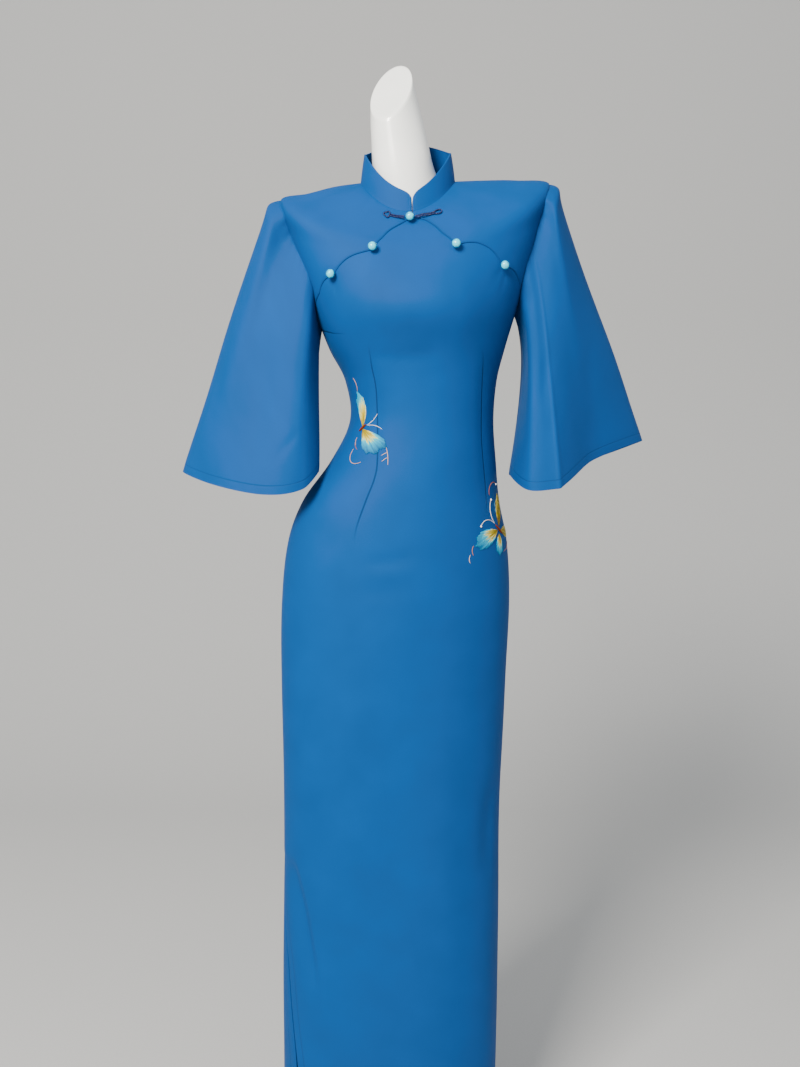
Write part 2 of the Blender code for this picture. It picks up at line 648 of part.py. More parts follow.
def make_collar():
    """A stand collar on the neckline, open at the centre front, with round corners."""
    quarter = [HALF_OPENING_TURN + (90.0 - HALF_OPENING_TURN) * i / NECK_FRONT_COLUMNS
               for i in range(NECK_FRONT_COLUMNS + 1)]
    quarter.insert(1, COLLAR_CORNER_TURN * 0.6)
    back = [90.0 + 180.0 * i / NECK_BACK_COLUMNS for i in range(1, NECK_BACK_COLUMNS)]
    turns = quarter + back + [360.0 - turn for turn in reversed(quarter)]
    middle = Vector((BODY[-1].centre, 0.0, 0.0))
    net = [[] for _ in range(COLLAR_ROWS + 1)]
    for turn in turns:
        front_turn = min(turn, 360.0 - turn)
        swing = OPENING_TURN * max(1 - front_turn / 90.0, 0.0)
        base = body_point(turn + swing, NECKLINE) + Vector((0.0, 0.0, SEAM_GAP))
        top = smooth_row(COLLAR_TOP, front_turn)
        corner = max(1 - front_turn / COLLAR_CORNER_TURN, 0.0)
        rise = top.rise - COLLAR_CORNER_DROP * corner ** 2
        inward = middle - base
        inward.z = 0.0
        inward.normalize()
        for j in range(COLLAR_ROWS + 1):
            s = j / COLLAR_ROWS
            lean = inward * top.lean * s ** COLLAR_LEAN_START
            net[j].append(base + Vector((0.0, 0.0, rise * s)) + lean)
    make_cloth("collar", net, net_normals(net), wall=COLLAR_WALL)


def make_trims(lapels):
    """Piping on the lapel edges, ball buttons and the knotted frog."""
    for side, name in ((-1, "piping_left"), (1, "piping_right")):
        marks = lapels[side]
        lift = PIPING_RADIUS + REST_GAP
        path = [body_point(*mark) + body_normal(*mark) * lift for mark in marks]
        path[0] += (path[1] - path[0]).normalized() * PIPING_END
        path[-1] += (path[-2] - path[-1]).normalized() * PIPING_SLEEVE_END
        make_tube(name, path, PIPING_RADIUS, "crepe", bevel=1)

    lift = 2 * PIPING_RADIUS + 2 * REST_GAP + BUTTON_RADIUS * BUTTON_SQUASH
    for side, end in ((-1, "left"), (1, "right")):
        for lobe, spot in ((0, "inner"), (1, "outer")):
            mark = locate(LAPEL[side][lobe][-1])
            normal = body_normal(*mark)
            make_ball("button_" + end + "_" + spot, body_point(*mark) + normal * lift, normal,
                      BUTTON_RADIUS)

    mark = locate(FROG_MIDDLE)
    normal = body_normal(*mark)
    lift = 2 * PIPING_RADIUS + 2 * REST_GAP + COLLAR_BUTTON_RADIUS * BUTTON_SQUASH
    make_ball("collar_button", body_point(*mark) + normal * lift, normal, COLLAR_BUTTON_RADIUS)
    for side, name in ((-1, "frog_left"), (1, "frog_right")):
        make_tube(name, frog_path(side), CORD_RADIUS, "cord")


def frog_path(side):
    """One cord out from the ball, round its end loop and back, over the piping's start."""
    path = []
    for mark in smooth_line([locate(place) for place in FROG[side]], fine=3):
        point = body_point(*mark)
        over = min(max(2 - abs(point.x - CENTRE_TOP.x) / FROG_STEP, 0.0), 1.0)
        lift = FROG_LIFT + FROG_RISE * over * over * (3 - 2 * over)
        path.append(point + body_normal(*mark) * lift)
    return path


# ---------------------------------------------------------------- form and stand
def make_form():
    """The smooth limbless form inside the dress, with its slanted neck cap."""
    turns = [360.0 * i / FORM_COLUMNS for i in range(FORM_COLUMNS)]
    net = []
    first = [body_point(turn, FORM_LEVELS[0]) - body_normal(turn, FORM_LEVELS[0]) * FORM_GAP
             for turn in turns]
    middle = sum(first, Vector()) / FORM_COLUMNS
    net.append([middle.lerp(point, 0.90) - Vector((0, 0, FORM_LEVELS[0] - FORM_BOTTOM))
                for point in first])
    for level in FORM_LEVELS:
        net.append([body_point(turn, level) - body_normal(turn, level) * FORM_GAP
                    for turn in turns])
    for ring in FORM_NECK:
        row = []
        for turn in turns:
            side = math.sin(math.radians(turn))
            front = math.cos(math.radians(turn))
            row.append(Vector((ring.centre + ring.half_width * side,
                               ring.middle - ring.depth * front,
                               ring.height + ring.tilt * side - ring.slope * front)))
        net.append(row)
    shape = net_shape(net)
    bmesh.ops.holes_fill(shape, edges=[e for e in shape.edges if e.is_boundary])
    bmesh.ops.recalc_face_normals(shape, faces=shape.faces)
    add_mesh("dress_form", shape, "form")


def make_stand():
    """Round base and plain pole under the form."""
    shoulder = (BASE_RADIUS - 5 * BASE_EDGE, BASE_HEIGHT - BASE_EDGE)
    make_turned("stand_base", ((0.0, BASE_HEIGHT), shoulder,
                               (BASE_RADIUS - BASE_EDGE, 2.5 * BASE_EDGE),
                               (BASE_RADIUS, 1.5 * BASE_EDGE), (BASE_RADIUS, 0.0), (0.0, 0.0)),
                BASE_STEPS, "base")
    top, bottom = FORM_BOTTOM - REST_GAP, BASE_HEIGHT + REST_GAP
    make_turned("stand_pole", ((0.0, top), (POLE_RADIUS, top), (POLE_RADIUS, bottom),
                               (0.0, bottom)), POLE_STEPS, "steel")


def main():
    armholes, lapels = make_panels()
    make_sleeve("sleeve_left", -1, armholes[-1])
    make_sleeve("sleeve_right", 1, armholes[1])
    make_collar()
    make_trims(lapels)
    make_form()
    make_stand()


for leftover in list(bpy.data.objects):
    bpy.data.objects.remove(leftover)
PARTS = bpy.data.collections.new("cheongsam_on_form")
bpy.context.scene.collection.children.link(PARTS)
main()
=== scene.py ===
"""Cheongsam on a dress form: the finished look of every piece of cloth, cord and form.

Every cloth piece is cut from the same body surface as its solid, on a finer net, and is
then pushed out or in along its normals where the cloth folds, puckers or is pressed.
A place on the body has a turn (degrees round from the centre front) and a level.
"""
import math

import bmesh
import bpy
import numpy as np
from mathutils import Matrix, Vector


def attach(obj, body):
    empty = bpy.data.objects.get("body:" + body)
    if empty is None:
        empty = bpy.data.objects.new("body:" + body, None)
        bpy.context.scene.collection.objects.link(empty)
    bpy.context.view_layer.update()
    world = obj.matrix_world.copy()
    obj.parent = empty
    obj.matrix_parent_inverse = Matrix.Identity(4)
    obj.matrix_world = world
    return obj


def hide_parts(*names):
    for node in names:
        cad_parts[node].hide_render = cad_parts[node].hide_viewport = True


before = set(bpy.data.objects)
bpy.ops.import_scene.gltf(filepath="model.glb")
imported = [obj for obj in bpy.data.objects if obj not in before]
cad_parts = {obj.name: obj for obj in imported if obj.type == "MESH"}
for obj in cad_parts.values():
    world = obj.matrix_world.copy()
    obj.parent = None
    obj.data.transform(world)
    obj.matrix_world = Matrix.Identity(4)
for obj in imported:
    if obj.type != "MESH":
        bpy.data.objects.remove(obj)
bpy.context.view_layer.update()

MM = 0.001
BODY_NAME = "root"

# ---------------------------------------------------------------- body surface
# level, height, tilt, front_rise, back_rise, centre, half_width, front, back, square, turn
BODY = np.array((
    (0.100, 0.100, 0.000, 0.000, 0.000, -0.004, 0.1592, 0.098, 0.105, 2.25, 0.0),
    (0.300, 0.300, 0.000, 0.000, 0.000, -0.002, 0.1604, 0.100, 0.110, 2.25, 0.0),
    (0.573, 0.573, 0.000, 0.000, 0.000, 0.000, 0.1594, 0.102, 0.119, 2.20, 0.0),
    (0.754, 0.754, 0.000, 0.000, 0.000, 0.003, 0.1637, 0.106, 0.127, 2.15, 1.0),
    (0.873, 0.873, 0.000, 0.000, 0.000, 0.006, 0.1657, 0.108, 0.130, 2.10, 2.0),
    (0.961, 0.961, 0.000, 0.000, 0.000, 0.009, 0.1582, 0.106, 0.120, 2.10, 3.0),
    (1.019, 1.019, 0.000, 0.000, 0.000, 0.0145, 0.1415, 0.101, 0.106, 2.10, 4.0),
    (1.077, 1.077, 0.000, 0.000, 0.000, 0.0324, 0.1182, 0.093, 0.089, 2.10, 5.5),
    (1.134, 1.134, 0.000, 0.000, 0.000, 0.0438, 0.1030, 0.086, 0.079, 2.15, 6.0),
    (1.191, 1.191, 0.000, 0.000, 0.000, 0.0422, 0.1085, 0.091, 0.085, 2.20, 4.0),
    (1.233, 1.233, 0.000, 0.000, 0.000, 0.0364, 0.1243, 0.100, 0.095, 2.25, 2.0),
    (1.276, 1.276, 0.000, 0.000, 0.000, 0.0342, 0.1389, 0.110, 0.104, 2.30, 1.0),
    (1.320, 1.335, 0.002, -0.020, -0.010, 0.0335, 0.1580, 0.109, 0.109, 2.30, 0.5),
    (1.370, 1.405, 0.007, -0.057, -0.030, 0.0330, 0.1780, 0.101, 0.108, 2.25, 0.0),
    (1.420, 1.4535, 0.011, -0.085, -0.045, 0.0335, 0.1890, 0.093, 0.101, 2.15, 0.0),
    (1.455, 1.4605, 0.009, -0.077, -0.030, 0.0290, 0.1465, 0.084, 0.089, 2.05, 0.0),
    (1.490, 1.4650, 0.004, -0.065, -0.008, 0.0250, 0.1050, 0.074, 0.073, 2.00, 0.0),
    (1.530, 1.4670, 0.001, -0.050, 0.018, 0.0232, 0.0662, 0.064, 0.056, 2.00, 0.0),
))
SHOULDER_ROUNDING = 1.7
BUST = {"apex": 0.056, "height": 1.285, "spread": 0.043, "depth": 0.011}
HEM, NECKLINE, SHOULDER_END, SLIT_TOP = 0.100, 1.530, 1.420, 0.500
ARMPIT = {-1: 1.262, 1: 1.282}
ARMPIT_BLEND, SEAM_SWING = 1.130, 1.3
SIDE_TOP = 1.262

ARMHOLE_FRONT = {
    -1: ((-0.1490, 1.4200), (-0.1396, 1.3897), (-0.1232, 1.3528), (-0.1118, 1.3262),
         (-0.1062, 1.3000)),
    1: ((0.2150, 1.4420), (0.2080, 1.4150), (0.1967, 1.3740), (0.1870, 1.3450),
        (0.1800, 1.3120)),
}
ARMHOLE_BACK = ((12.0, 1.405), (20.0, 1.370), (23.0, 1.335), (15.0, 1.295))
CENTRE_TOP = (0.0300, 1.4080)
LAPEL = {
    -1: (((0.0184, 1.4010), (-0.0012, 1.3890), (-0.0140, 1.3755), (-0.0238, 1.3608)),
         ((-0.0340, 1.3585), (-0.0500, 1.3540), (-0.0630, 1.3465), (-0.0715, 1.3375),
          (-0.0768, 1.3290)),
         ((-0.0885, 1.3240), (-0.0950, 1.3155), (-0.0985, 1.3060))),
    1: (((0.0460, 1.4035), (0.0602, 1.3941), (0.0755, 1.3795), (0.0868, 1.3648)),
        ((0.0965, 1.3695), (0.1110, 1.3710), (0.1260, 1.3670), (0.1395, 1.3575),
         (0.1490, 1.3410)),
        ((0.1590, 1.3405), (0.1685, 1.3360), (0.1745, 1.3275))),
}
LOBE_COLUMNS = (6, 5, 4)
ARMHOLE_STEPS, LAPEL_STEP = 15, 3
SHOULDER_COLUMNS, NECK_BACK_COLUMNS = 6, 14
NECK_FRONT_COLUMNS = sum(LOBE_COLUMNS) - SHOULDER_COLUMNS
OPENING_TURN, HALF_OPENING_TURN = 5.0, 0.6
FRONT_BOW, BACK_BOW = 0.60, 0.62
FINE = 5                      # the visible net has this many cells for one of the solid's
ROW_HEIGHT = 0.0065

# level, then degrees from the side seam: front left, back left, front right, back right
SLIT = np.array((
    (0.100, 41.0, 34.0, 3.0, -9.0),
    (0.190, 36.0, 34.2, 3.0, -8.0),
    (0.270, 30.0, 29.3, 2.4, -6.2),
    (0.357, 23.0, 22.5, 1.7, -4.2),
    (0.430, 11.0, 10.6, 1.0, -2.0),
    (0.500, 0.0, 0.0, 0.0, 0.0),
    (0.600, 0.0, 0.0, 0.0, 0.0),
))

# around the armhole, then out, forward, drop, and the hem point's x, y, z
SLEEVE = {
    -1: ((0.000, 0.021, 0.000, 0.009, -0.3030, 0.012, 1.0600),
         (0.125, 0.026, 0.014, 0.030, -0.2500, -0.052, 1.0440),
         (0.250, 0.018, 0.016, 0.060, -0.1760, -0.086, 1.0320),
         (0.375, 0.004, 0.018, 0.060, -0.1215, -0.083, 1.0390),
         (0.440, -0.002, 0.006, 0.050, -0.1010, -0.057, 1.0620),
         (0.500, 0.006, 0.000, 0.030, -0.1110, -0.026, 1.0580),
         (0.625, 0.014, -0.014, 0.060, -0.1260, 0.056, 1.0480),
         (0.750, 0.022, -0.014, 0.060, -0.1800, 0.092, 1.0400),
         (0.875, 0.028, -0.014, 0.030, -0.2500, 0.070, 1.0480)),
    1: ((0.000, 0.010, 0.000, 0.010, 0.3740, 0.055, 1.1040),
        (0.125, 0.016, 0.014, 0.030, 0.2860, -0.020, 1.0760),
        (0.250, 0.014, 0.012, 0.070, 0.2330, -0.084, 1.0400),
        (0.375, 0.014, 0.012, 0.080, 0.1880, -0.080, 1.0380),
        (0.500, 0.022, 0.000, 0.060, 0.1690, -0.006, 1.0560),
        (0.625, 0.016, -0.008, 0.080, 0.1850, 0.060, 1.0500),
        (0.750, 0.018, -0.012, 0.070, 0.2400, 0.098, 1.0560),
        (0.875, 0.019, -0.014, 0.030, 0.3150, 0.100, 1.0780)),
}
WALL, COLLAR_WALL = 1.2 * MM, 1.8 * MM
SEAM_GAP, REST_GAP = 0.5 * MM, 0.3 * MM
LINE_REACH = 6 * MM           # a stitched line is drawn only this near to it
SHARP_CLOTH = 50              # degrees between faces, above which an edge of cloth is sharp
SEAM_DIP, SEAM_DIP_REACH = 0.5, 1.6 * MM      # mm that a seam sinks the cloth, and how far off
SEAM_HOLD = 5 * MM            # folds stay this far from a seam
HEM_TURN, SLIT_TURN, SLEEVE_TURN = 0.030, 0.014, 0.012
HEM_SHOW, SLIT_FADE = 0.45, 0.010

SLEEVE_ROWS, CORNER_PULL, SLEEVE_ROW_SPREAD = 72, 0.08, 1.15
CAP_PUFF, CAP_PUFF_LEVEL = 9 * MM, 0.14
CAP_HOLD, CAP_GATHERS, GATHER_HEIGHT, GATHER_AT = 0.030, 31, 0.35, 6 * MM
SLEEVE_TUCK, SLEEVE_SINK = 0.6 * MM, 0.7 * MM
SLEEVE_ROUND, SLEEVE_STRETCH = 0.09, 0.5      # its mean radius, and how far its ripples run down
# the right sleeve's pressed edge: place and reach round the armhole, height in mm, half width
PRESSED_RIB, PRESSED_REACH, PRESSED_HEIGHT, PRESSED_EDGE = 0.25, 0.12, 1.1, 3 * MM

COLLAR_TUCK, COLLAR_ROWS = 1.0 * MM, 32
# sides, then height, place off those sides and width in mm: edge, stitched line, neck seam
COLLAR_PRESSED = (
    (("left", "right", "top"), -0.35, 0.0, 1.0),
    (("left", "right", "top"), -0.12, 4.5, 0.9),
    (("bottom",), 0.4, 0.0, 2.5),
)
# turn, rise, lean inward of the collar's top edge
COLLAR_TOP = np.array((
    (0, 0.0215, 0.0020), (14, 0.0280, 0.0030), (45, 0.0345, 0.0045),
    (90, 0.0390, 0.0055), (135, 0.0430, 0.0065), (180, 0.0450, 0.0070)))
COLLAR_CORNER = {"turn": 8.0, "drop": 0.009}


# ---------------------------------------------------------------- tables and marks
def smooth_row(table, at):
    """Rows between the rows of a table, on smooth curves through its columns."""
    keys = table[:, 0]
    at = np.clip(np.asarray(at, float), keys[0], keys[-1])
    low = np.clip(np.searchsorted(keys, at, side="right") - 1, 0, len(keys) - 2)
    before, after = np.maximum(low - 1, 0), np.minimum(low + 2, len(keys) - 1)
    step = (keys[low + 1] - keys[low])[..., None]
    s = (at[..., None] - keys[low][..., None]) / step
    a, b, c, d = table[before], table[low], table[low + 1], table[after]
    start = (c - a) / (keys[low + 1] - keys[before])[..., None] * step
    end = (d - b) / (keys[after] - keys[low])[..., None] * step
    return ((2 * s**3 - 3 * s**2 + 1) * b + (s**3 - 2 * s**2 + s) * start
            + (3 * s**2 - 2 * s**3) * c + (s**3 - s**2) * end)


def on_body(marks):
    """Points of the body surface at marks of turn and level."""
    turn, level = np.radians(marks[..., 0]), marks[..., 1]
    (_, height, tilt, front_rise, back_rise, centre, half, front_depth, back_depth, square,
     yaw) = np.moveaxis(smooth_row(BODY, level), -1, 0)
    side, front = np.sin(turn), np.cos(turn)
    radius = (np.abs(side) ** square + np.abs(front) ** square) ** (-1 / square)
    ahead = front > 0
    across = half * side * radius
    along = -np.where(ahead, front_depth, back_depth) * front * radius
    rise = np.where(ahead, front_rise, back_rise)
    z = height + tilt * side + rise * np.abs(front) ** SHOULDER_ROUNDING
    beyond = np.maximum(np.abs(across) - BUST["apex"], 0.0)
    reach = (beyond**2 + (z - BUST["height"]) ** 2) / BUST["spread"] ** 2
    along = along - np.where(ahead, BUST["depth"] * front * np.exp(-reach), 0.0)
    yaw = np.radians(yaw)
    return np.stack((centre + across * np.cos(yaw) - along * np.sin(yaw),
                     across * np.sin(yaw) + along * np.cos(yaw), z), axis=-1)


def unit(vectors):
    """Vectors of length 1 along the given ones."""
    return vectors / np.maximum(np.linalg.norm(vectors, axis=-1, keepdims=True), 1e-12)


def lengths_along(points, axis=0):
    """Metres along a line, or along each row or column of a net, from 0 at its start."""
    steps = np.linalg.norm(np.diff(points, axis=axis), axis=-1)
    start = np.zeros_like(np.take(steps, [0], axis=axis))
    return np.concatenate((start, np.cumsum(steps, axis=axis)), axis=axis)


def bell(away, width):
    """1 on a line, falling smoothly to almost 0 at two widths from it."""
    return np.exp(-(away / width) ** 2)


def body_normals(marks):
    """Outward normals of the body surface at marks."""
    marks = np.stack((marks[..., 0], np.clip(marks[..., 1], HEM + MM, NECKLINE - MM)), axis=-1)
    turn, level = np.array((0.3, 0.0)), np.array((0.0, MM))
    across = on_body(marks + turn) - on_body(marks - turn)
    return unit(np.cross(across, on_body(marks + level) - on_body(marks - level)))


def seen_ahead(marks):
    """The x and z of marks."""
    return on_body(marks)[..., (0, 2)]


def laid_flat(marks):
    """Places on a flat sheet, with turns as widths of the ring at each level, and heights."""
    ring = smooth_row(BODY, marks[..., 1])
    across = ring[..., 5] + ring[..., 6] * marks[..., 0] / 90.0
    return np.stack((across, on_body(marks)[..., 2]), axis=-1)


def solve(seen, aims, marks):
    """The marks at which seen(marks) meets the aims, by Newton's steps."""
    turn_step, level_step = np.array((0.05, 0.0)), np.array((0.0, 0.0002))
    for _ in range(14):
        here = seen(marks)
        by_turn = (seen(marks + turn_step) - here) / turn_step[0]
        by_level = (seen(marks + level_step) - here) / level_step[1]
        miss = aims - here
        size = by_turn[..., 0] * by_level[..., 1] - by_turn[..., 1] * by_level[..., 0]
        size = np.where(np.abs(size) < 1e-9, np.inf, size)
        turn = (miss[..., 0] * by_level[..., 1] - miss[..., 1] * by_level[..., 0]) / size
        level = (by_turn[..., 0] * miss[..., 1] - by_turn[..., 1] * miss[..., 0]) / size
        marks = marks + np.stack((np.clip(turn, -6, 6), np.clip(level, -0.02, 0.02)), axis=-1)
        marks[..., 1] = np.clip(marks[..., 1], HEM, NECKLINE)
    return marks


GUESSES = np.stack(np.meshgrid(np.arange(-88.0, 88.1, 5.5), np.arange(0.10, 1.51, 0.05)),
                   axis=-1).reshape(-1, 2)
GUESSES_AHEAD = seen_ahead(GUESSES)


def locate(places):
    """Marks on the front of the body with the given x and z."""
    places = np.atleast_2d(np.asarray(places, float))
    near = np.linalg.norm(GUESSES_AHEAD[None] - places[:, None], axis=-1).argmin(axis=1)
    return solve(seen_ahead, places, GUESSES[near].copy())


def gather(aims):
    """Marks on the front of the body that lie at the aims when laid flat."""
    ring = smooth_row(BODY, aims[..., 1])
    guess = np.stack((90.0 * (aims[..., 0] - ring[..., 5]) / ring[..., 6], aims[..., 1]), axis=-1)
    return solve(laid_flat, aims, guess)


def smooth_line(knots, fine=12):
    """Knots joined by a smooth curve."""
    knots = np.asarray(knots, float)
    line = []
    for i in range(len(knots) - 1):
        before, start = knots[max(i - 1, 0)], knots[i]
        end, after = knots[i + 1], knots[min(i + 2, len(knots) - 1)]
        for s in np.arange(fine) / fine:
            line.append(0.5 * (2 * start + (end - before) * s
                               + (2 * before - 5 * start + 4 * end - after) * s**2
                               + (3 * start - before - 3 * end + after) * s**3))
    return np.array(line + [knots[-1]])


def spaced(line, count, points=None):
    """count + 1 knots evenly spaced along a line, by the length of its points."""
    points = line if points is None else points
    lengths = lengths_along(points)
    aims = np.linspace(0.0, lengths[-1], count + 1)
    return np.stack([np.interp(aims, lengths, line[:, k]) for k in range(line.shape[1])], axis=-1)


def even_marks(marks, count):
    """count + 1 marks, evenly spaced over the body along a smooth curve."""
    line = smooth_line(marks)
    return spaced(line, count, on_body(line))


def even(first, last, count):
    """count + 1 marks evenly spaced between two."""
    return np.linspace(np.asarray(first, float), np.asarray(last, float), count + 1)


# ---------------------------------------------------------------- seam lines
def armhole(side):
    """Marks round an armhole: up the front from the armpit, then down the back."""
    pit, top = (90.0 * side, ARMPIT[side]), (90.0 * side, SHOULDER_END)
    front = locate(ARMHOLE_FRONT[side][::-1])
    back = [((90.0 + turn) * side, level) for turn, level in ARMHOLE_BACK]
    return (even_marks([pit, *front, top], ARMHOLE_STEPS * FINE),
            even_marks([top, *back, pit], ARMHOLE_STEPS * FINE))


def lapel_line(side, end):
    """Marks of a lapel edge, from the centre front out to its end on the armhole."""
    marks = [locate(CENTRE_TOP)[0]]
    for lobe, count in zip(LAPEL[side], LOBE_COLUMNS):
        corner = [marks[-1], *locate(lobe)]
        if lobe is LAPEL[side][-1]:
            corner.append(end)
        marks += list(even_marks(corner, count * FINE)[1:])
    return np.array(marks)


def side_edge(side, panel):
    """Marks up a panel's side edge, from the hem to the armpit."""
    base = 90.0 * side if panel == "front" or side > 0 else 270.0
    level = np.linspace(HEM, SIDE_TOP, round((SIDE_TOP - HEM) / ROW_HEIGHT) + 1)
    blend = np.maximum((level - ARMPIT_BLEND) / (SIDE_TOP - ARMPIT_BLEND), 0.0)
    level = level + (ARMPIT[side] - SIDE_TOP) * blend
    column = 1 + ("front", "back").index(panel) + (2 if side > 0 else 0)
    opened = np.where(level < SLIT_TOP, smooth_row(SLIT, level)[:, column], 0.0)
    swing = SEAM_SWING * smooth_row(BODY, level)[:, 10] if side < 0 else 0.0
    return np.stack((base - side * opened - swing, level), axis=-1)


def fade(up, start):
    """0 below a start, then rising to 1 at the top."""
    share = np.maximum((up - start) / (1 - start), 0.0)
    return (share * share * (3 - 2 * share) + share) / 2


def patch(left, right, bottom, top, reach=lambda up: up, shares=None):
    """A net between four edges; the top edge's shape fades out downwards."""
    rows, columns = len(left), len(top)
    shares = np.linspace(0, 1, columns) if shares is None else shares
    up = np.linspace(0, 1, rows)[:, None, None]
    share = shares[None, :, None]
    net = left[:, None] * (1 - share) + right[:, None] * share
    net = net + reach(up) * (top[None] - (left[-1] * (1 - share) + right[-1] * share))
    if bottom is not None:
        net = net + (1 - up) * (bottom[None] - (left[0] * (1 - share) + right[0] * share))
    return net


# ---------------------------------------------------------------- cloth nets
def net_normals(net, closed=False):
    """Outward normals of a net of points."""
    up = np.gradient(net, axis=0)
    if closed:
        across = np.roll(net, -1, axis=1) - np.roll(net, 1, axis=1)
    else:
        across = np.gradient(net, axis=1)
    return unit(np.cross(across, up))


def edge_distance(net, sides):
    """Metres from each point of a net to the nearest of its named sides."""
    across, up = lengths_along(net, 1), lengths_along(net, 0)
    ways = {"left": across, "right": across[:, -1:] - across, "bottom": up, "top": up[-1:] - up}
    return np.minimum.reduce([ways[side] for side in sides])


def draw_in(net, normals, sides, gap):
    """Draw the named sides of a net in by a gap, square to each side."""
    net = net.copy()
    up, across = unit(np.gradient(net, axis=0)), unit(np.gradient(net, axis=1))
    square_up = unit(np.cross(normals, across))
    square_across = unit(np.cross(up, normals))
    if "left" in sides:
        net[:, 0] += square_across[:, 0] * gap
    if "right" in sides:
        net[:, -1] -= square_across[:, -1] * gap
    if "bottom" in sides:
        net[0] += square_up[0] * gap
    if "top" in sides:
        net[-1] -= square_up[-1] * gap
    return net


def nearest_line(lines):
    """Signed metres to the nearest of several stitched lines, with that line's strength."""
    away = np.stack([np.broadcast_to(away, lines[0][0].shape) for away, _ in lines])
    strength = np.stack([np.broadcast_to(share, lines[0][0].shape) for _, share in lines])
    nearest = np.abs(away).argmin(axis=0)[None]
    away = np.take_along_axis(away, nearest, axis=0)[0]
    strength = np.take_along_axis(strength, nearest, axis=0)[0]
    return np.stack((away, np.where(np.abs(away) < LINE_REACH, strength, 0.0)), axis=-1)


def quads(this, after):
    """Faces between each column of point numbers and the column after it."""
    return np.stack((this[:-1], after[:-1], after[1:], this[1:]), axis=-1).reshape(-1, 4)


def set_uv(mesh, name, values):
    """A UV layer that gives each corner of a mesh the value of its point."""
    corners = np.zeros(len(mesh.loops), dtype=np.int32)
    mesh.loops.foreach_get("vertex_index", corners)
    mesh.uv_layers.new(name=name).data.foreach_set("uv", values[corners].ravel())


def cloth_mesh(name, net, normals, wall, closed=False, lines=()):
    """A closed wall through a net, with the cloth's own measure in metres as its UVs."""
    rows, columns = net.shape[:2]
    points = np.concatenate((net.reshape(-1, 3), (net - normals * wall).reshape(-1, 3)))
    index = np.arange(rows * columns).reshape(rows, columns)
    after = np.roll(index, -1, axis=1) if closed else index[:, 1:]
    this = index if closed else index[:, :-1]
    outer = quads(this, after)
    inner = outer[:, ::-1] + rows * columns
    rims = [(after[0], this[0]), (this[-1], after[-1])]
    if not closed:
        rims += [(index[:-1, 0], index[1:, 0]), (index[1:, -1], index[:-1, -1])]
    rims = [np.stack((low, high, high + rows * columns, low + rows * columns), axis=-1)
            for low, high in rims]
    faces = np.concatenate([outer, inner] + rims)
    mesh = bpy.data.meshes.new(name)
    mesh.from_pydata(points.tolist(), [], faces.tolist())
    height, width = lengths_along(net, 0), lengths_along(net, 1)
    width = width - width[:, columns // 2][:, None]
    set_uv(mesh, "cloth", np.tile(np.stack((width, height), axis=-1).reshape(-1, 2), (2, 1)))
    if lines:
        set_uv(mesh, "lines", np.tile(nearest_line(lines).reshape(-1, 2), (2, 1)))
    mesh.update()
    mesh.shade_smooth()
    mesh.set_sharp_from_angle(angle=math.radians(SHARP_CLOTH))
    return mesh


def cloth_area(net, closed=False):
    """Area of a net, the length of its widest row and of its longest column."""
    wide = np.concatenate((net, net[:, :1]), axis=1) if closed else net
    a = wide[1:, 1:] - wide[:-1, :-1]
    b = wide[1:, :-1] - wide[:-1, 1:]
    area = np.linalg.norm(np.cross(a, b), axis=-1).sum() / 2
    return area, lengths_along(wide, 1).max(), lengths_along(wide, 0).max()


def show(name, data):
    """A new object in the scene."""
    made = bpy.data.objects.new(name, data)
    bpy.context.scene.collection.objects.link(made)
    return made


def add_piece(name, mesh, material, slot, *nodes):
    """Show a piece, give it its material and let it stand for its CAD nodes."""
    mesh.materials.append(material)
    piece = show(name, mesh)
    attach(piece, BODY_NAME)
    if nodes:
        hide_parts(*nodes)
    return piece


# ---------------------------------------------------------------- folds
def line_distance(points, line):
    """Distance of x, z points from a line of knots, the share along it, and the side."""
    lengths = lengths_along(line)
    best = np.full(points.shape[:-1], np.inf)
    share, hand = np.zeros(points.shape[:-1]), np.zeros(points.shape[:-1])
    for i in range(len(line) - 1):
        way = line[i + 1] - line[i]
        s = np.clip(((points - line[i]) @ way) / (way @ way), 0, 1)
        off = points - (line[i] + s[..., None] * way)
        away = np.linalg.norm(off, axis=-1)
        nearer = away < best
        best = np.where(nearer, away, best)
        share = np.where(nearer, (lengths[i] + s * (lengths[i + 1] - lengths[i])) / lengths[-1], share)
        hand = np.where(nearer, np.sign(way[0] * off[..., 1] - way[1] * off[..., 0]), hand)
    return best, share, hand


def seam_line(points, knots, start, end):
    """Signed metres from a seam at x, z points, and its strength, which fades at its ends."""
    away, share, hand = line_distance(points, smooth_line(knots, 5))
    fades = np.clip(share / start, 0, 1) * np.clip((1 - share) / end, 0, 1)
    return away * np.where(hand > 0, 1.0, -1.0), fades


def crease_depth(points, creases):
    """Millimetres that the creases lift or sink cloth at x, z points.

    Each crease is (knots, height in mm, width in mm on its left, width on its right,
    share of its length over which it starts, and over which it ends).
    """
    depth = np.zeros(points.shape[:-1])
    for knots, height, left, right, start, end in creases:
        away, share, hand = line_distance(points, smooth_line(knots, 5))
        width = np.where(hand > 0, left, right) * MM
        swell = np.clip(share / start, 0, 1) * np.clip((1 - share) / end, 0, 1)
        swell = swell * swell * (3 - 2 * swell)
        depth += height * swell * bell(away, width)
    return depth


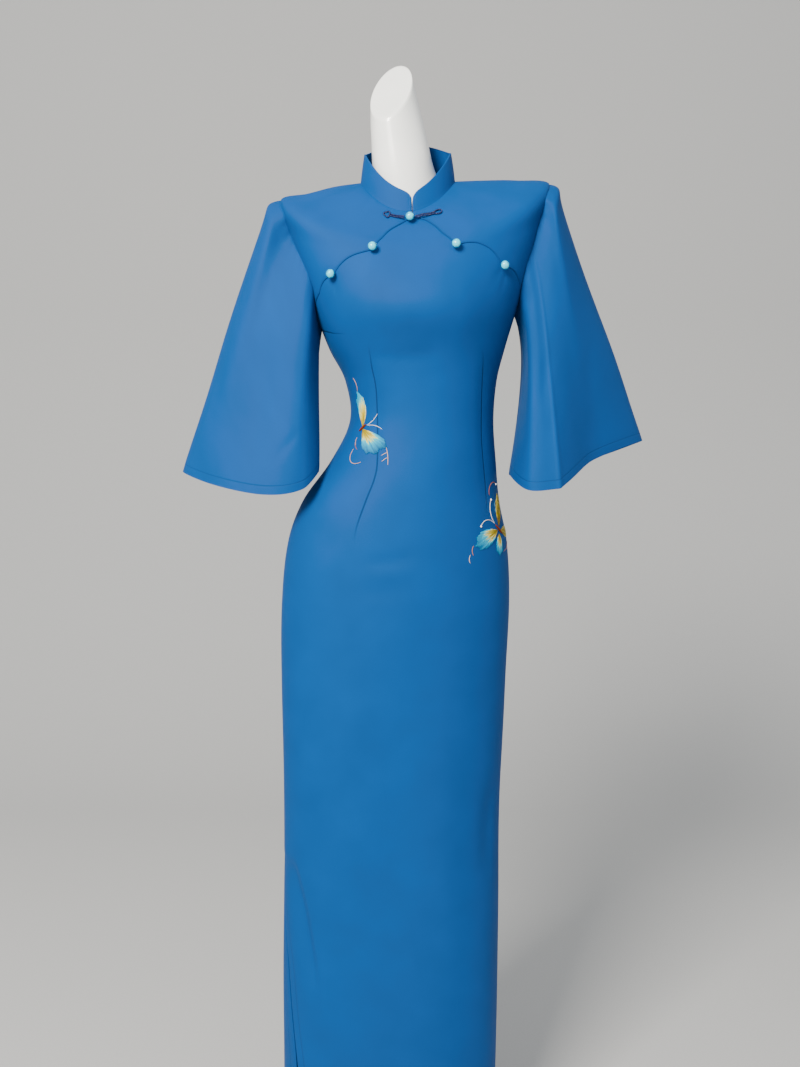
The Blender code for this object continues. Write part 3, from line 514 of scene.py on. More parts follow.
def ripples(points, seed, size, height, stretch=(1.0, 1.0)):
    """Soft unevenness of cloth, in mm: a few slow waves about a size long, in drawn directions."""
    chance = np.random.default_rng(seed)
    depth = np.zeros(points.shape[:-1])
    for _ in range(7):
        angle, phase = chance.uniform(0, math.pi), chance.uniform(0, 2 * math.pi)
        long = size * chance.uniform(0.7, 1.6)
        wave = (points[..., 0] * math.cos(angle) * stretch[0]
                + points[..., -1] * math.sin(angle) * stretch[1])
        depth += np.sin(2 * math.pi * wave / long + phase)
    return depth * height / 7


# stitched darts: x, z knots, and the shares over which each starts and ends
FRONT_DARTS = (
    (((-0.0306, 1.2352), (-0.0265, 1.2056), (-0.0215, 1.1799), (-0.0198, 1.1460), (-0.0189, 1.0805),
      (-0.0227, 1.0545), (-0.0337, 1.0256), (-0.0468, 0.9883), (-0.0508, 0.9647)), 0.12, 0.15),
    (((0.1250, 1.2300), (0.1268, 1.2157), (0.1269, 1.1614), (0.1276, 1.1061), (0.1322, 1.0503),
      (0.1350, 1.0000)), 0.12, 0.15),
    (((-0.1020, 1.2600), (-0.0800, 1.2520), (-0.0610, 1.2500)), 0.01, 0.6),
)
BACK_DARTS = (
    (((-0.0250, 1.2300), (-0.0200, 1.1400), (-0.0300, 0.9900)), 0.12, 0.15),
    (((0.1050, 1.2300), (0.1020, 1.1400), (0.1000, 0.9900)), 0.12, 0.15),
)
# x, z knots; height, width left, width right (mm); shares over which it starts and ends
FRONT_CREASES = (
    # the cloth dips a little toward each dart
    (FRONT_DARTS[0][0], -1.0, 7, 7, 0.25, 0.3),
    (FRONT_DARTS[1][0], -0.9, 7, 7, 0.25, 0.3),
    (FRONT_DARTS[2][0], -0.8, 6, 6, 0.1, 0.7),
    # under the bust, and the two hollows of the stomach
    (((-0.0560, 1.2250), (0.0000, 1.2170), (0.0400, 1.2190), (0.0900, 1.2260)), -2.0, 10, 9, 0.4, 0.4),
    (((-0.0500, 0.9430), (-0.0200, 0.9400), (0.0100, 0.9440), (0.0450, 0.9470)), -1.3, 7, 7, 0.4, 0.4),
    (((-0.0500, 0.9270), (-0.0100, 0.9250), (0.0450, 0.9300)), 0.9, 7, 7, 0.4, 0.4),
    (((-0.0600, 0.9020), (-0.0150, 0.8990), (0.0300, 0.9030)), -0.8, 8, 8, 0.4, 0.4),
    # drag lines below the outer buttons
    (((0.1500, 1.3360), (0.1400, 1.3230), (0.1280, 1.3120)), -0.8, 3, 3, 0.2, 0.6),
    (((0.1560, 1.3330), (0.1520, 1.3180), (0.1480, 1.3030)), -0.7, 3, 3, 0.2, 0.6),
    (((-0.0810, 1.3240), (-0.0740, 1.3100), (-0.0680, 1.2980)), -0.7, 3, 3, 0.2, 0.6),
    # low left: the crease that runs into the slit, and the soft fold beside it
    (((-0.1468, 0.5065), (-0.1416, 0.4828), (-0.1287, 0.4367), (-0.1197, 0.3903), (-0.1111, 0.3332),
      (-0.1096, 0.2817)), -5.5, 6, 16, 0.12, 0.45),
    (((-0.1000, 0.2500), (-0.0960, 0.1800), (-0.0950, 0.1020)), 2.6, 12, 12, 0.6, 0.01),
    (((-0.0740, 0.2400), (-0.0760, 0.1700), (-0.0760, 0.1020)), -2.0, 12, 12, 0.6, 0.01),
    # low right: the side falls in
    (((0.1490, 0.6370), (0.1420, 0.5900), (0.1395, 0.5450), (0.1400, 0.4950), (0.1440, 0.4560)),
     -3.0, 9, 13, 0.35, 0.35),
    # long soft verticals of the skirt
    (((0.0200, 0.8600), (0.0150, 0.6000), (0.0120, 0.3500)), -0.8, 22, 22, 0.5, 0.5),
    (((0.0750, 0.8000), (0.0800, 0.5500), (0.0850, 0.1500)), 0.9, 20, 20, 0.5, 0.3),
    (((-0.0700, 0.8400), (-0.0650, 0.6500), (-0.0600, 0.4000)), 0.8, 20, 20, 0.5, 0.5),
)
BACK_CREASES = (
    (BACK_DARTS[0][0], -1.0, 7, 7, 0.3, 0.3),
    (BACK_DARTS[1][0], -1.0, 7, 7, 0.3, 0.3),
    # soft folds across the small of the back
    (((-0.0300, 1.1050), (0.0400, 1.0950), (0.1100, 1.1080)), -1.8, 9, 9, 0.3, 0.3),
    (((-0.0300, 1.0600), (0.0350, 1.0480), (0.1100, 1.0630)), 1.4, 11, 11, 0.3, 0.3),
    # long soft verticals of the skirt
    (((-0.0600, 0.8400), (-0.0550, 0.5000), (-0.0600, 0.1000)), 1.2, 22, 22, 0.5, 0.2),
    (((0.0500, 0.8400), (0.0550, 0.5000), (0.0500, 0.1000)), 1.3, 22, 22, 0.5, 0.2),
)
LEFT_SLEEVE_CREASES = (
    (((-0.1580, 1.3870), (-0.1450, 1.3700), (-0.1300, 1.3560)), -1.2, 5, 7, 0.3, 0.5),
    (((-0.1630, 1.0790), (-0.1420, 1.1000), (-0.1240, 1.1190)), -1.5, 4, 4, 0.3, 0.3),
    (((-0.2050, 1.3000), (-0.2300, 1.2000), (-0.2450, 1.1200)), 1.2, 14, 14, 0.4, 0.4),
    (((-0.1600, 1.2700), (-0.1750, 1.1800), (-0.1900, 1.0600)), -1.3, 15, 15, 0.4, 0.2),
)
RIGHT_SLEEVE_CREASES = (
    (((0.2150, 1.2420), (0.2120, 1.1900), (0.2080, 1.1400)), -1.6, 9, 9, 0.4, 0.4),
    (((0.2700, 1.2600), (0.2880, 1.1600), (0.3000, 1.0900)), -1.3, 14, 14, 0.4, 0.2),
)


# ---------------------------------------------------------------- materials
def srgb(code):
    """A colour written as sRGB hex, as linear light."""
    parts = [int(code[i:i + 2], 16) / 255 for i in (1, 3, 5)]
    return [c / 12.92 if c <= 0.04045 else ((c + 0.055) / 1.055) ** 2.4 for c in parts] + [1.0]


def add_node(tree, kind, inputs=(), stops=(), **settings):
    """Add a node, with its settings, its colour stops, and its inputs set or linked."""
    made = tree.nodes.new("ShaderNode" + kind)
    for name, value in settings.items():
        setattr(made, name, value)
    for key, value in dict(inputs).items():
        if isinstance(value, bpy.types.NodeSocket):
            tree.links.new(value, made.inputs[key])
        else:
            made.inputs[key].default_value = value
    for i, (at, code) in enumerate(stops):
        elements = made.color_ramp.elements
        stop = elements[i] if i < len(elements) else elements.new(at)
        stop.position, stop.color = at, srgb(code)
    return made


def start_material(name, **values):
    """A new material, its node tree and its shader, with plain values set on the shader."""
    material = bpy.data.materials.new(name)
    material.use_nodes = True
    tree = material.node_tree
    shader = tree.nodes["Principled BSDF"]
    for key, value in values.items():
        shader.inputs[key.replace("_", " ")].default_value = value
    return material, tree, shader


def link_shader(tree, shader, **outputs):
    """Link outputs of nodes to the shader's own sockets, by name."""
    for key, output in outputs.items():
        tree.links.new(output, shader.inputs[key.replace("_", " ")])


# a wave texture repeats each 2 pi / 20 of its scaled coordinate
WAVE_REPEAT = 2 * math.pi / 20


def woven_crepe(name, light, deep):
    """Polyester crepe, woven and dyed in the piece: matt with a faint bloom of sheen."""
    material, tree, shader = start_material(
        name, Roughness=0.66, IOR=1.46, Specular_IOR_Level=0.14, Sheen_Weight=0.04,
        Sheen_Roughness=0.45, Sheen_Tint=srgb("#3f9fe0"))
    cloth = add_node(tree, "UVMap", uv_map="cloth").outputs["UV"]
    # Real threads lie 0.25 mm apart. They are drawn 0.7 mm apart, so that they show.
    thread = WAVE_REPEAT / (0.7 * MM)
    warp, weft = [add_node(tree, "TexWave", {"Vector": cloth, "Scale": thread, "Distortion": 1.5,
                                             "Detail": 1.0, "Detail Scale": 1.5}, bands_direction=way)
                  for way in ("X", "Y")]
    weave = add_node(tree, "Math", {0: warp.outputs["Fac"], 1: weft.outputs["Fac"]},
                     operation="MULTIPLY").outputs[0]
    # crepe yarn kinks into pebbles about 1.5 mm across
    pebble = add_node(tree, "TexNoise", {"Vector": cloth, "Scale": 1 / (1.5 * MM), "Detail": 3.0,
                                         "Roughness": 0.6}).outputs["Fac"]
    grain = add_node(tree, "Math", {0: weave, 1: pebble}, operation="ADD").outputs[0]
    bump = add_node(tree, "Bump", {"Height": grain, "Strength": 0.35, "Distance": 0.22 * MM})
    # seams: a thread's pull sinks the cloth over 1.3 mm each way
    lines = add_node(tree, "UVMap", uv_map="lines").outputs["UV"]
    near = add_node(tree, "SeparateXYZ", {"Vector": lines})
    away = add_node(tree, "Math", {0: near.outputs["X"]}, operation="ABSOLUTE").outputs[0]
    sunk = add_node(tree, "MapRange", {"Value": away, "From Max": 1.3 * MM, "To Min": 1.0,
                                       "To Max": 0.0}, interpolation_type="SMOOTHSTEP").outputs["Result"]
    seam = add_node(tree, "Math", {0: sunk, 1: near.outputs["Y"]}, operation="MULTIPLY").outputs[0]
    pulled = add_node(tree, "Bump", {"Height": seam, "Strength": 0.9, "Distance": 0.7 * MM,
                                     "Normal": bump.outputs["Normal"]}, invert=True)
    # slow patches, 70 mm across, where the cloth has been handled and pressed
    cloud = add_node(tree, "TexNoise", {"Vector": cloth, "Scale": 1 / (70 * MM),
                                        "Detail": 2.0}).outputs["Fac"]
    tone = add_node(tree, "Math", {0: cloud, 1: pebble}, operation="MULTIPLY").outputs[0]
    dye = add_node(tree, "ValToRGB", {"Fac": tone}, stops=((0.05, deep), (0.45, light)))
    # cloth in a seam's shadow; the mixer's colours are its sockets 6 and 7
    shade = add_node(tree, "Mix", {0: seam, 6: dye.outputs["Color"], 7: srgb("#00264e")},
                     data_type="RGBA")
    link_shader(tree, shader, Base_Color=shade.outputs[2], Normal=pulled.outputs["Normal"])
    return material


def satin_thread(name, stops, roughness):
    """Rayon embroidery floss, dyed along its length and laid in satin stitch: soft gloss."""
    material, tree, shader = start_material(
        name, Roughness=roughness, IOR=1.5, Specular_IOR_Level=0.12)
    cloth = add_node(tree, "UVMap", uv_map="cloth").outputs["UV"]
    # a thread's tone is its first UV value
    tone = add_node(tree, "SeparateXYZ", {"Vector": cloth}).outputs["X"]
    dye = add_node(tree, "ValToRGB", {"Fac": tone}, stops=stops)
    # the floss's fine strands are 0.15 mm across, and are drawn as grain 0.4 mm across
    spot = add_node(tree, "TexCoord").outputs["Object"]
    strand = add_node(tree, "TexNoise", {"Vector": spot, "Scale": 1 / (0.4 * MM), "Detail": 2.0})
    bump = add_node(tree, "Bump", {"Height": strand.outputs["Fac"], "Strength": 0.4,
                                   "Distance": 0.1 * MM})
    link_shader(tree, shader, Base_Color=dye.outputs["Color"], Normal=bump.outputs["Normal"])
    return material


def twisted_cord(name, light, deep):
    """Rayon cord, twisted from yarns: dark, with a painted highlight along each yarn's crest and painted
    shade between the yarns.
    """
    material, tree, shader = start_material(
        name, Roughness=0.4, IOR=1.5, Specular_IOR_Level=0.4, Coat_Weight=0.1, Coat_Roughness=0.25)
    cord = add_node(tree, "UVMap", uv_map="cloth").outputs["UV"]
    # the yarns of each strand slant over it, 1.6 mm apart
    yarns = add_node(tree, "TexWave", {"Vector": cord, "Scale": WAVE_REPEAT / (1.6 * MM)},
                     bands_direction="DIAGONAL").outputs["Fac"]
    # painted light: the yarn wave that makes the bump also paints each yarn lighter on its crest and
    # darker in the groove between yarns
    dye = add_node(tree, "ValToRGB", {"Fac": yarns}, stops=((0.1, deep), (0.9, light)))
    bump = add_node(tree, "Bump", {"Height": yarns, "Strength": 0.6, "Distance": 0.3 * MM})
    link_shader(tree, shader, Base_Color=dye.outputs["Color"], Normal=bump.outputs["Normal"])
    return material


def pearl_acrylic():
    """Moulded acrylic ball with a pearl lacquer: pale aqua clouds, painted lighter where it faces the
    view and darker towards its rim as painted shade.
    """
    material, tree, shader = start_material(
        "pearl_lacquered_acrylic", Roughness=0.22, IOR=1.49, Coat_Weight=0.8, Coat_Roughness=0.06)
    spot = add_node(tree, "TexCoord").outputs["Object"]
    # clouds of pearl pigment, about 4 mm across
    cloud = add_node(tree, "TexNoise", {"Vector": spot, "Scale": 1 / (4 * MM), "Detail": 2.0,
                                        "Distortion": 0.8}).outputs["Fac"]
    # painted shade: the facing weight darkens the ball's colour towards its rim, where it turns away
    # from view
    turned = add_node(tree, "LayerWeight", {"Blend": 0.35}).outputs["Facing"]
    mixed = add_node(tree, "Math", {0: cloud, 1: turned}, operation="ADD").outputs[0]
    dye = add_node(tree, "ValToRGB", {"Fac": mixed},
                   stops=((0.25, "#00a0c8"), (0.6, "#38d4e6"), (0.95, "#007ca4")))
    bump = add_node(tree, "Bump", {"Height": cloud, "Strength": 0.1, "Distance": 0.1 * MM})
    link_shader(tree, shader, Base_Color=dye.outputs["Color"], Normal=bump.outputs["Normal"])
    return material


def lacquered_form():
    """Glass fibre body, sprayed white and polished: deep gloss over a faint orange peel."""
    material, tree, shader = start_material(
        "sprayed_white_fibreglass", Roughness=0.28, IOR=1.5, Coat_Weight=0.6, Coat_Roughness=0.08)
    spot = add_node(tree, "TexCoord").outputs["Object"]
    # orange peel of the spray, 3 mm across, and the spray's own slow patches, 90 mm across
    peel, cloud = [add_node(tree, "TexNoise", {"Vector": spot, "Scale": 1 / (size * MM),
                                               "Detail": detail}).outputs["Fac"]
                   for size, detail in ((3, 1.0), (90, 2.0))]
    dye = add_node(tree, "ValToRGB", {"Fac": cloud}, stops=((0.3, "#eceee9"), (0.7, "#f6f6f2")))
    bump = add_node(tree, "Bump", {"Height": peel, "Strength": 0.15, "Distance": 0.08 * MM})
    link_shader(tree, shader, Base_Color=dye.outputs["Color"], Normal=bump.outputs["Normal"])
    return material


def brushed_steel():
    """Steel tube, brushed round its length and clear lacquered: fine level lines."""
    material, tree, shader = start_material(
        "brushed_steel_tube", Metallic=1.0, Roughness=0.3, Anisotropic=0.4)
    spot = add_node(tree, "Mapping", {"Vector": add_node(tree, "TexCoord").outputs["Object"],
                                      "Scale": (40.0, 40.0, 1 / (0.4 * MM))}).outputs["Vector"]
    # brush lines 0.4 mm apart
    lines = add_node(tree, "TexNoise", {"Vector": spot, "Scale": 1.0, "Detail": 2.0}).outputs["Fac"]
    dye = add_node(tree, "ValToRGB", {"Fac": lines}, stops=((0.3, "#b4b6b8"), (0.7, "#cdcfd0")))
    rough = add_node(tree, "MapRange", {"Value": lines, "To Min": 0.24,
                                        "To Max": 0.38}).outputs["Result"]
    link_shader(tree, shader, Base_Color=dye.outputs["Color"], Roughness=rough)
    return material


def powder_coat(name, light, deep, roughness, grain):
    """Powder-coated or matt-painted sheet: even, with a fine grain in its surface."""
    material, tree, shader = start_material(name, Roughness=roughness, IOR=1.5)
    spot = add_node(tree, "TexCoord").outputs["Object"]
    fine = add_node(tree, "TexNoise", {"Vector": spot, "Scale": 1 / grain, "Detail": 2.0}).outputs["Fac"]
    dye = add_node(tree, "ValToRGB", {"Fac": fine}, stops=((0.3, deep), (0.7, light)))
    bump = add_node(tree, "Bump", {"Height": fine, "Strength": 0.12, "Distance": 0.1 * MM})
    link_shader(tree, shader, Base_Color=dye.outputs["Color"], Normal=bump.outputs["Normal"])
    return material


CREPE = woven_crepe("woven_polyester_crepe", "#00407d", "#003a71")
CREPE_BIAS = woven_crepe("bias_cut_crepe", "#003a72", "#003467")
FLOSS = satin_thread("satin_stitched_rayon_floss", (
    (0.00, "#4e3600"), (0.12, "#7a6800"), (0.26, "#a39020"), (0.40, "#ccc074"),
    (0.48, "#38a8b0"), (0.57, "#0090b0"), (0.75, "#00789e"), (1.00, "#00507c")), 0.45)
FINE_FLOSS = satin_thread("couched_rayon_cord", (
    (0.0, "#eee6de"), (0.35, "#d0a48c"), (0.6, "#985634"), (0.85, "#108cb4"), (1.0, "#642400")), 0.4)
# the cord's light colour is a painted highlight on the yarns' crests, its deep colour painted shade
# between them
CORD = twisted_cord("twisted_rayon_cord", "#06175a", "#02062a")
PEARL = pearl_acrylic()


# ---------------------------------------------------------------- tubes and balls
END_AT, END_SIZE = 0.6, 0.55  # a cord's end ring, in radii: how far out it is, and its size


def ring_faces(rings, sides):
    """Faces round rings of points, with one face over each end."""
    index = np.arange(rings * sides).reshape(rings, sides)
    faces = quads(index, np.roll(index, -1, axis=1)).tolist()
    return faces + [index[0][::-1].tolist(), index[-1].tolist()]


def with_ends(rows):
    """Rows with the first and the last one given twice."""
    return np.concatenate((rows[:1], rows, rows[-1:]))


def tube_parts(points, radii, normals, sides=8, tone=None):
    """Points, faces and UVs of a round cord with rounded ends.

    The UVs measure the cord in metres, or the first of them is its tone.
    """
    radii = np.broadcast_to(radii, len(points)).astype(float)
    along = unit(np.gradient(points, axis=0))
    across = unit(np.cross(along, normals))
    raised = unit(np.cross(across, along))
    lengths = with_ends(lengths_along(points))
    # a small ring before each end rounds it off
    points = np.concatenate((points[:1] - along[:1] * radii[0] * END_AT, points,
                             points[-1:] + along[-1:] * radii[-1] * END_AT))
    across, raised = with_ends(across), with_ends(raised)
    radii = np.concatenate(([radii[0] * END_SIZE], radii, [radii[-1] * END_SIZE]))
    angle = np.arange(sides) / sides * 2 * math.pi
    ring = (across[:, None] * np.cos(angle)[None, :, None]
            + raised[:, None] * np.sin(angle)[None, :, None]) * radii[:, None, None]
    if tone is None:
        uv = np.broadcast_arrays(lengths[:, None], (angle * radii.mean())[None])
    else:
        tone = with_ends(np.broadcast_to(tone, len(lengths) - 2))
        uv = np.broadcast_arrays(tone[:, None], np.zeros(sides)[None])
    places = (points[:, None] + ring).reshape(-1, 3)
    return places, ring_faces(len(points), sides), np.stack(uv, axis=-1).reshape(-1, 2)


def joined_mesh(name, parts):
    """One smooth mesh from several lots of points, faces and UVs."""
    places, faces, uvs, count = [], [], [], 0
    for points, lot, uv in parts:
        places.append(points)
        faces += [[count + i for i in face] for face in lot]
        uvs.append(uv)
        count += len(points)
    mesh = bpy.data.meshes.new(name)
    mesh.from_pydata(np.concatenate(places).tolist(), [], faces)
    set_uv(mesh, "cloth", np.concatenate(uvs))
    shape = bmesh.new()
    shape.from_mesh(mesh)
    bmesh.ops.recalc_face_normals(shape, faces=shape.faces)
    shape.to_mesh(mesh)
    shape.free()
    mesh.shade_smooth()
    return mesh


def turned_net(profile, steps):
    """Rings of a round solid about Z, from a profile of radius and height."""
    angle = np.arange(steps) / steps * 2 * math.pi
    profile = np.asarray(profile, float)
    return np.stack(np.broadcast_arrays(profile[:, :1] * np.cos(angle), profile[:, :1] * np.sin(angle),
                                        profile[:, 1:]), axis=-1)


def closed_mesh(name, rings, angle=40):
    """A solid from rings, with a face over each end, and edges sharp above an angle."""
    rows, sides = rings.shape[:2]
    uv = np.zeros((rows * sides, 2))
    mesh = joined_mesh(name, [(rings.reshape(-1, 3), ring_faces(rows, sides), uv)])
    mesh.set_sharp_from_angle(angle=math.radians(angle))
    return mesh


# ---------------------------------------------------------------- the dress
ARMHOLES = {side: armhole(side) for side in (-1, 1)}
LAPELS = {side: lapel_line(side, ARMHOLES[side][0][LAPEL_STEP * FINE]) for side in (-1, 1)}


def front_depth(points):
    """Millimetres that the front's cloth stands off its smooth surface."""
    ahead = points[..., (0, 2)]
    slow = ripples(ahead, seed=3, size=0.11, height=1.1, stretch=(1.0, 0.45))
    return crease_depth(ahead, FRONT_CREASES) + slow


def back_depth(points):
    """The same for the back's cloth."""
    behind = points[..., (0, 2)]
    slow = ripples(behind, seed=8, size=0.13, height=1.1, stretch=(1.0, 0.4))
    return crease_depth(behind, BACK_CREASES) + slow


def cut_panel(name, marks, depth, sides, darts=(), hem=False):
    """One panel's wall, with its folds and stitched lines, and its flat measures."""
    base, normals = on_body(marks), body_normals(marks)
    away = edge_distance(base, sides)
    stitched = np.where(marks[..., 1] > SLIT_TOP, 1 - bell(away, SEAM_HOLD), 1.0)
    lift = depth(base) * stitched
    lift -= SEAM_DIP * bell(away, SEAM_DIP_REACH)
    lines = [seam_line(base[..., (0, 2)], *dart) for dart in darts]
    if hem:
        up = edge_distance(base, ["bottom"])
        lift -= SEAM_DIP * bell(up, SEAM_DIP_REACH)
        # a turned and stitched edge round the hem and up each slit
        beside = edge_distance(base, ["left", "right"])
        slit = np.clip((SLIT_TOP + SLIT_FADE - marks[..., 1]) / (2 * SLIT_FADE), 0, 1)
        lines += [(up - HEM_TURN, HEM_SHOW), (beside - SLIT_TURN, HEM_SHOW * slit)]
    net = draw_in(base + normals * (lift * MM)[..., None], normals, sides, SEAM_GAP / 5)
    return cloth_mesh(name, net, normals, WALL, lines=lines), cloth_area(net)


def make_front(name):
    """The front panel, from the hem up to the lapel's edge."""
    left, right = [laid_flat(np.concatenate((side_edge(side, "front"),
                                             ARMHOLES[side][0][1:LAPEL_STEP * FINE + 1])))
                   for side in (-1, 1)]
    top = laid_flat(np.concatenate((LAPELS[-1][::-1], LAPELS[1][1:])))
    shares = (top[:, 0] - top[0, 0]) / (top[-1, 0] - top[0, 0])
    flat = patch(left, right, None, top, lambda up: fade(up, FRONT_BOW), shares)
    return cut_panel(name, gather(flat), front_depth, ("left", "right", "top"), FRONT_DARTS,
                     hem=True)


def make_yoke(name, side):
    """A yoke between lapel, armhole, shoulder and neckline."""
    outer = ARMHOLES[side][0][LAPEL_STEP * FINE:]
    neck_point = (90.0 * side, NECKLINE)
    neck_front = (OPENING_TURN + HALF_OPENING_TURN * side, NECKLINE)
    top = np.concatenate((even((90.0 * side, SHOULDER_END), neck_point, SHOULDER_COLUMNS * FINE),
                          even(neck_point, neck_front, NECK_FRONT_COLUMNS * FINE)[1:]))
    inner = even(LAPELS[side][0], neck_front, len(outer) - 1)
    bottom = LAPELS[side][::-1]
    marks = (patch(outer, inner, bottom, top) if side < 0
             else patch(inner, outer, bottom[::-1], top[::-1]))
    return cut_panel(name, marks, front_depth, ("left", "right", "top", "bottom"))


def back_edge(side):
    """Marks up one side of the back panel, from the hem to the shoulder."""
    down = ARMHOLES[side][1] + np.array((360.0 if side < 0 else 0.0, 0.0))
    return np.concatenate((side_edge(side, "back"), down[::-1][1:]))


def make_back(name):
    """The back panel, from the hem to the shoulders and the back of the neck."""
    corners = ((90.0, SHOULDER_END), (90.0, NECKLINE), (270.0, NECKLINE), (270.0, SHOULDER_END))
    counts = (SHOULDER_COLUMNS, NECK_BACK_COLUMNS, SHOULDER_COLUMNS)
    top = [np.array(corners[:1])]
    for first, last, count in zip(corners, corners[1:], counts):
        top.append(even(first, last, count * FINE)[1:])
    marks = patch(back_edge(1), back_edge(-1), None, np.concatenate(top),
                  lambda up: fade(up, BACK_BOW))
    return cut_panel(name, marks, back_depth, ("left", "right", "top"), BACK_DARTS, hem=True)


def sleeve_ribs(side, around):
    """Rows of a sleeve's table, which closes on itself, at shares around its armhole."""
    table = np.array(SLEEVE[side])
    before, after = table[-2:].copy(), table[:2].copy()
    before[:, 0] -= 1
    after[:, 0] += 1
    table = np.concatenate((before, table, after))
    ribs = smooth_row(table, around)
    if side > 0:
        # the pressed edge: straight cloth on both sides of it
        straight = np.stack([np.interp(around, table[:, 0], column) for column in table.T], axis=-1)
        share = np.clip(1 - np.abs(around - PRESSED_RIB) / PRESSED_REACH, 0, 1)[:, None] ** 0.7
        ribs = ribs * (1 - share) + straight * share
    return ribs


def sleeve_net(side, marks, around):
    """A smooth net down a sleeve, from its armhole to its hem."""
    ribs = sleeve_ribs(side, around)
    base, normal = on_body(marks), body_normals(marks)
    along = np.roll(base, -1, axis=0) - np.roll(base, 1, axis=0)
    # the sleeve's edge is sewn in from below the armhole's edge
    start = base + unit(np.cross(along, normal)) * side * SLEEVE_TUCK - normal * SLEEVE_SINK
    corner = start + np.stack((side * ribs[:, 1], -ribs[:, 2], -ribs[:, 3]), axis=-1)
    hem = ribs[:, 4:7]
    bend = corner + (hem - corner) * CORNER_PULL
    s = ((np.arange(SLEEVE_ROWS + 1) / SLEEVE_ROWS) ** SLEEVE_ROW_SPREAD)[:, None, None]
    r = 1 - s
    net = start * r**3 + corner * 3 * r * r * s + bend * 3 * r * s * s + hem * s**3
    puff = side * CAP_PUFF * np.maximum(np.cos(2 * math.pi * around), 0.0) ** 2
    net[..., 0] += puff * (s[..., 0] / CAP_PUFF_LEVEL * np.exp(1 - s[..., 0] / CAP_PUFF_LEVEL)) ** 2
    return net


def sleeve_lift(net, normals, side, around, creases):
    """Millimetres that a sleeve's cloth stands off its smooth net."""
    turn = 2 * math.pi * around
    from_armhole, from_hem = edge_distance(net, ["bottom"]), edge_distance(net, ["top"])
    held = 1 - bell(from_armhole, CAP_HOLD)
    ahead = normals[..., 1] < 0.1
    lift = crease_depth(net[..., (0, 2)], creases) * ahead * held
    unrolled = np.stack(np.broadcast_arrays(np.sin(turn) * SLEEVE_ROUND,
                                            net[..., 2] * SLEEVE_STRETCH), axis=-1)
    lift += ripples(unrolled, seed=21 + side, size=0.12, height=2.2) * held
    # ease of the sleeve's cap, gathered into the armhole
    lift += (np.sin(turn * CAP_GATHERS) * GATHER_HEIGHT
             * bell(from_armhole - GATHER_AT, GATHER_AT) * (np.cos(turn) > -0.2))
    lift -= SEAM_DIP * (bell(from_armhole, SEAM_DIP_REACH) + bell(from_hem, SEAM_DIP_REACH))
    if side > 0:
        round_it = lengths_along(np.concatenate((net, net[:, :1]), axis=1), 1)[:, -1:]
        lift += PRESSED_HEIGHT * bell((around - PRESSED_RIB) * round_it, PRESSED_EDGE) * held
    return lift


def make_sleeve(name, side, creases):
    """A bell sleeve from its armhole loop to its open hem, and its flat measures."""
    up, down = ARMHOLES[side]
    marks = np.concatenate((up[::-1], down[::-1][1:-1]))
    around = np.arange(len(marks)) / len(marks)
    net = sleeve_net(side, marks, around)
    if side < 0:
        net, around = net[:, ::-1], around[::-1]
    normals = net_normals(net, closed=True)
    hem_line = (edge_distance(net, ["top"]) - SLEEVE_TURN, HEM_SHOW)
    net = net + normals * (sleeve_lift(net, normals, side, around, creases) * MM)[..., None]
    return (cloth_mesh(name, net, normals, WALL, closed=True, lines=[hem_line]),
            cloth_area(net, closed=True))


def make_collar(name):
    """A stand collar on the neckline, open at the centre front, with round corners."""
    # fine steps round the corner, and coarser ones from there to the centre back
    turns = np.concatenate((np.linspace(HALF_OPENING_TURN, 12.0, 34), np.linspace(13.0, 178.0, 111)))
    turns = np.concatenate((turns, [180.0], 360.0 - turns[::-1]))
    ahead = np.minimum(turns, 360.0 - turns)
    swung = turns + OPENING_TURN * np.clip(1 - ahead / 90.0, 0, 1)
    base = on_body(np.stack((swung, np.full(len(turns), NECKLINE)), axis=-1)) - (0, 0, COLLAR_TUCK)
    rise, lean = np.moveaxis(smooth_row(COLLAR_TOP, ahead)[:, 1:], -1, 0)
    rise = rise + COLLAR_TUCK + SEAM_GAP
    corner = np.clip(1 - ahead / COLLAR_CORNER["turn"], 0, 1)
    rise = rise - COLLAR_CORNER["drop"] * (1 - np.sqrt(1 - (corner * 0.99) ** 2))
    inward = np.array((BODY[-1][5], 0.0, 0.0)) - base
    inward[:, 2] = 0
    s = np.linspace(0, 1, COLLAR_ROWS + 1)[:, None, None]
    net = base + unit(inward) * lean[:, None] * s**1.3 + np.array((0, 0, 1.0)) * (rise[:, None] * s)
    normals = net_normals(net)
    lift = ripples(net, seed=5, size=0.06, height=0.5)
    for sides, height, off, width in COLLAR_PRESSED:
        lift += height * bell(edge_distance(net, sides) - off * MM, width * MM)
    net = net + normals * (lift * MM)[..., None]
    return cloth_mesh(name, net, normals, COLLAR_WALL), cloth_area(net)


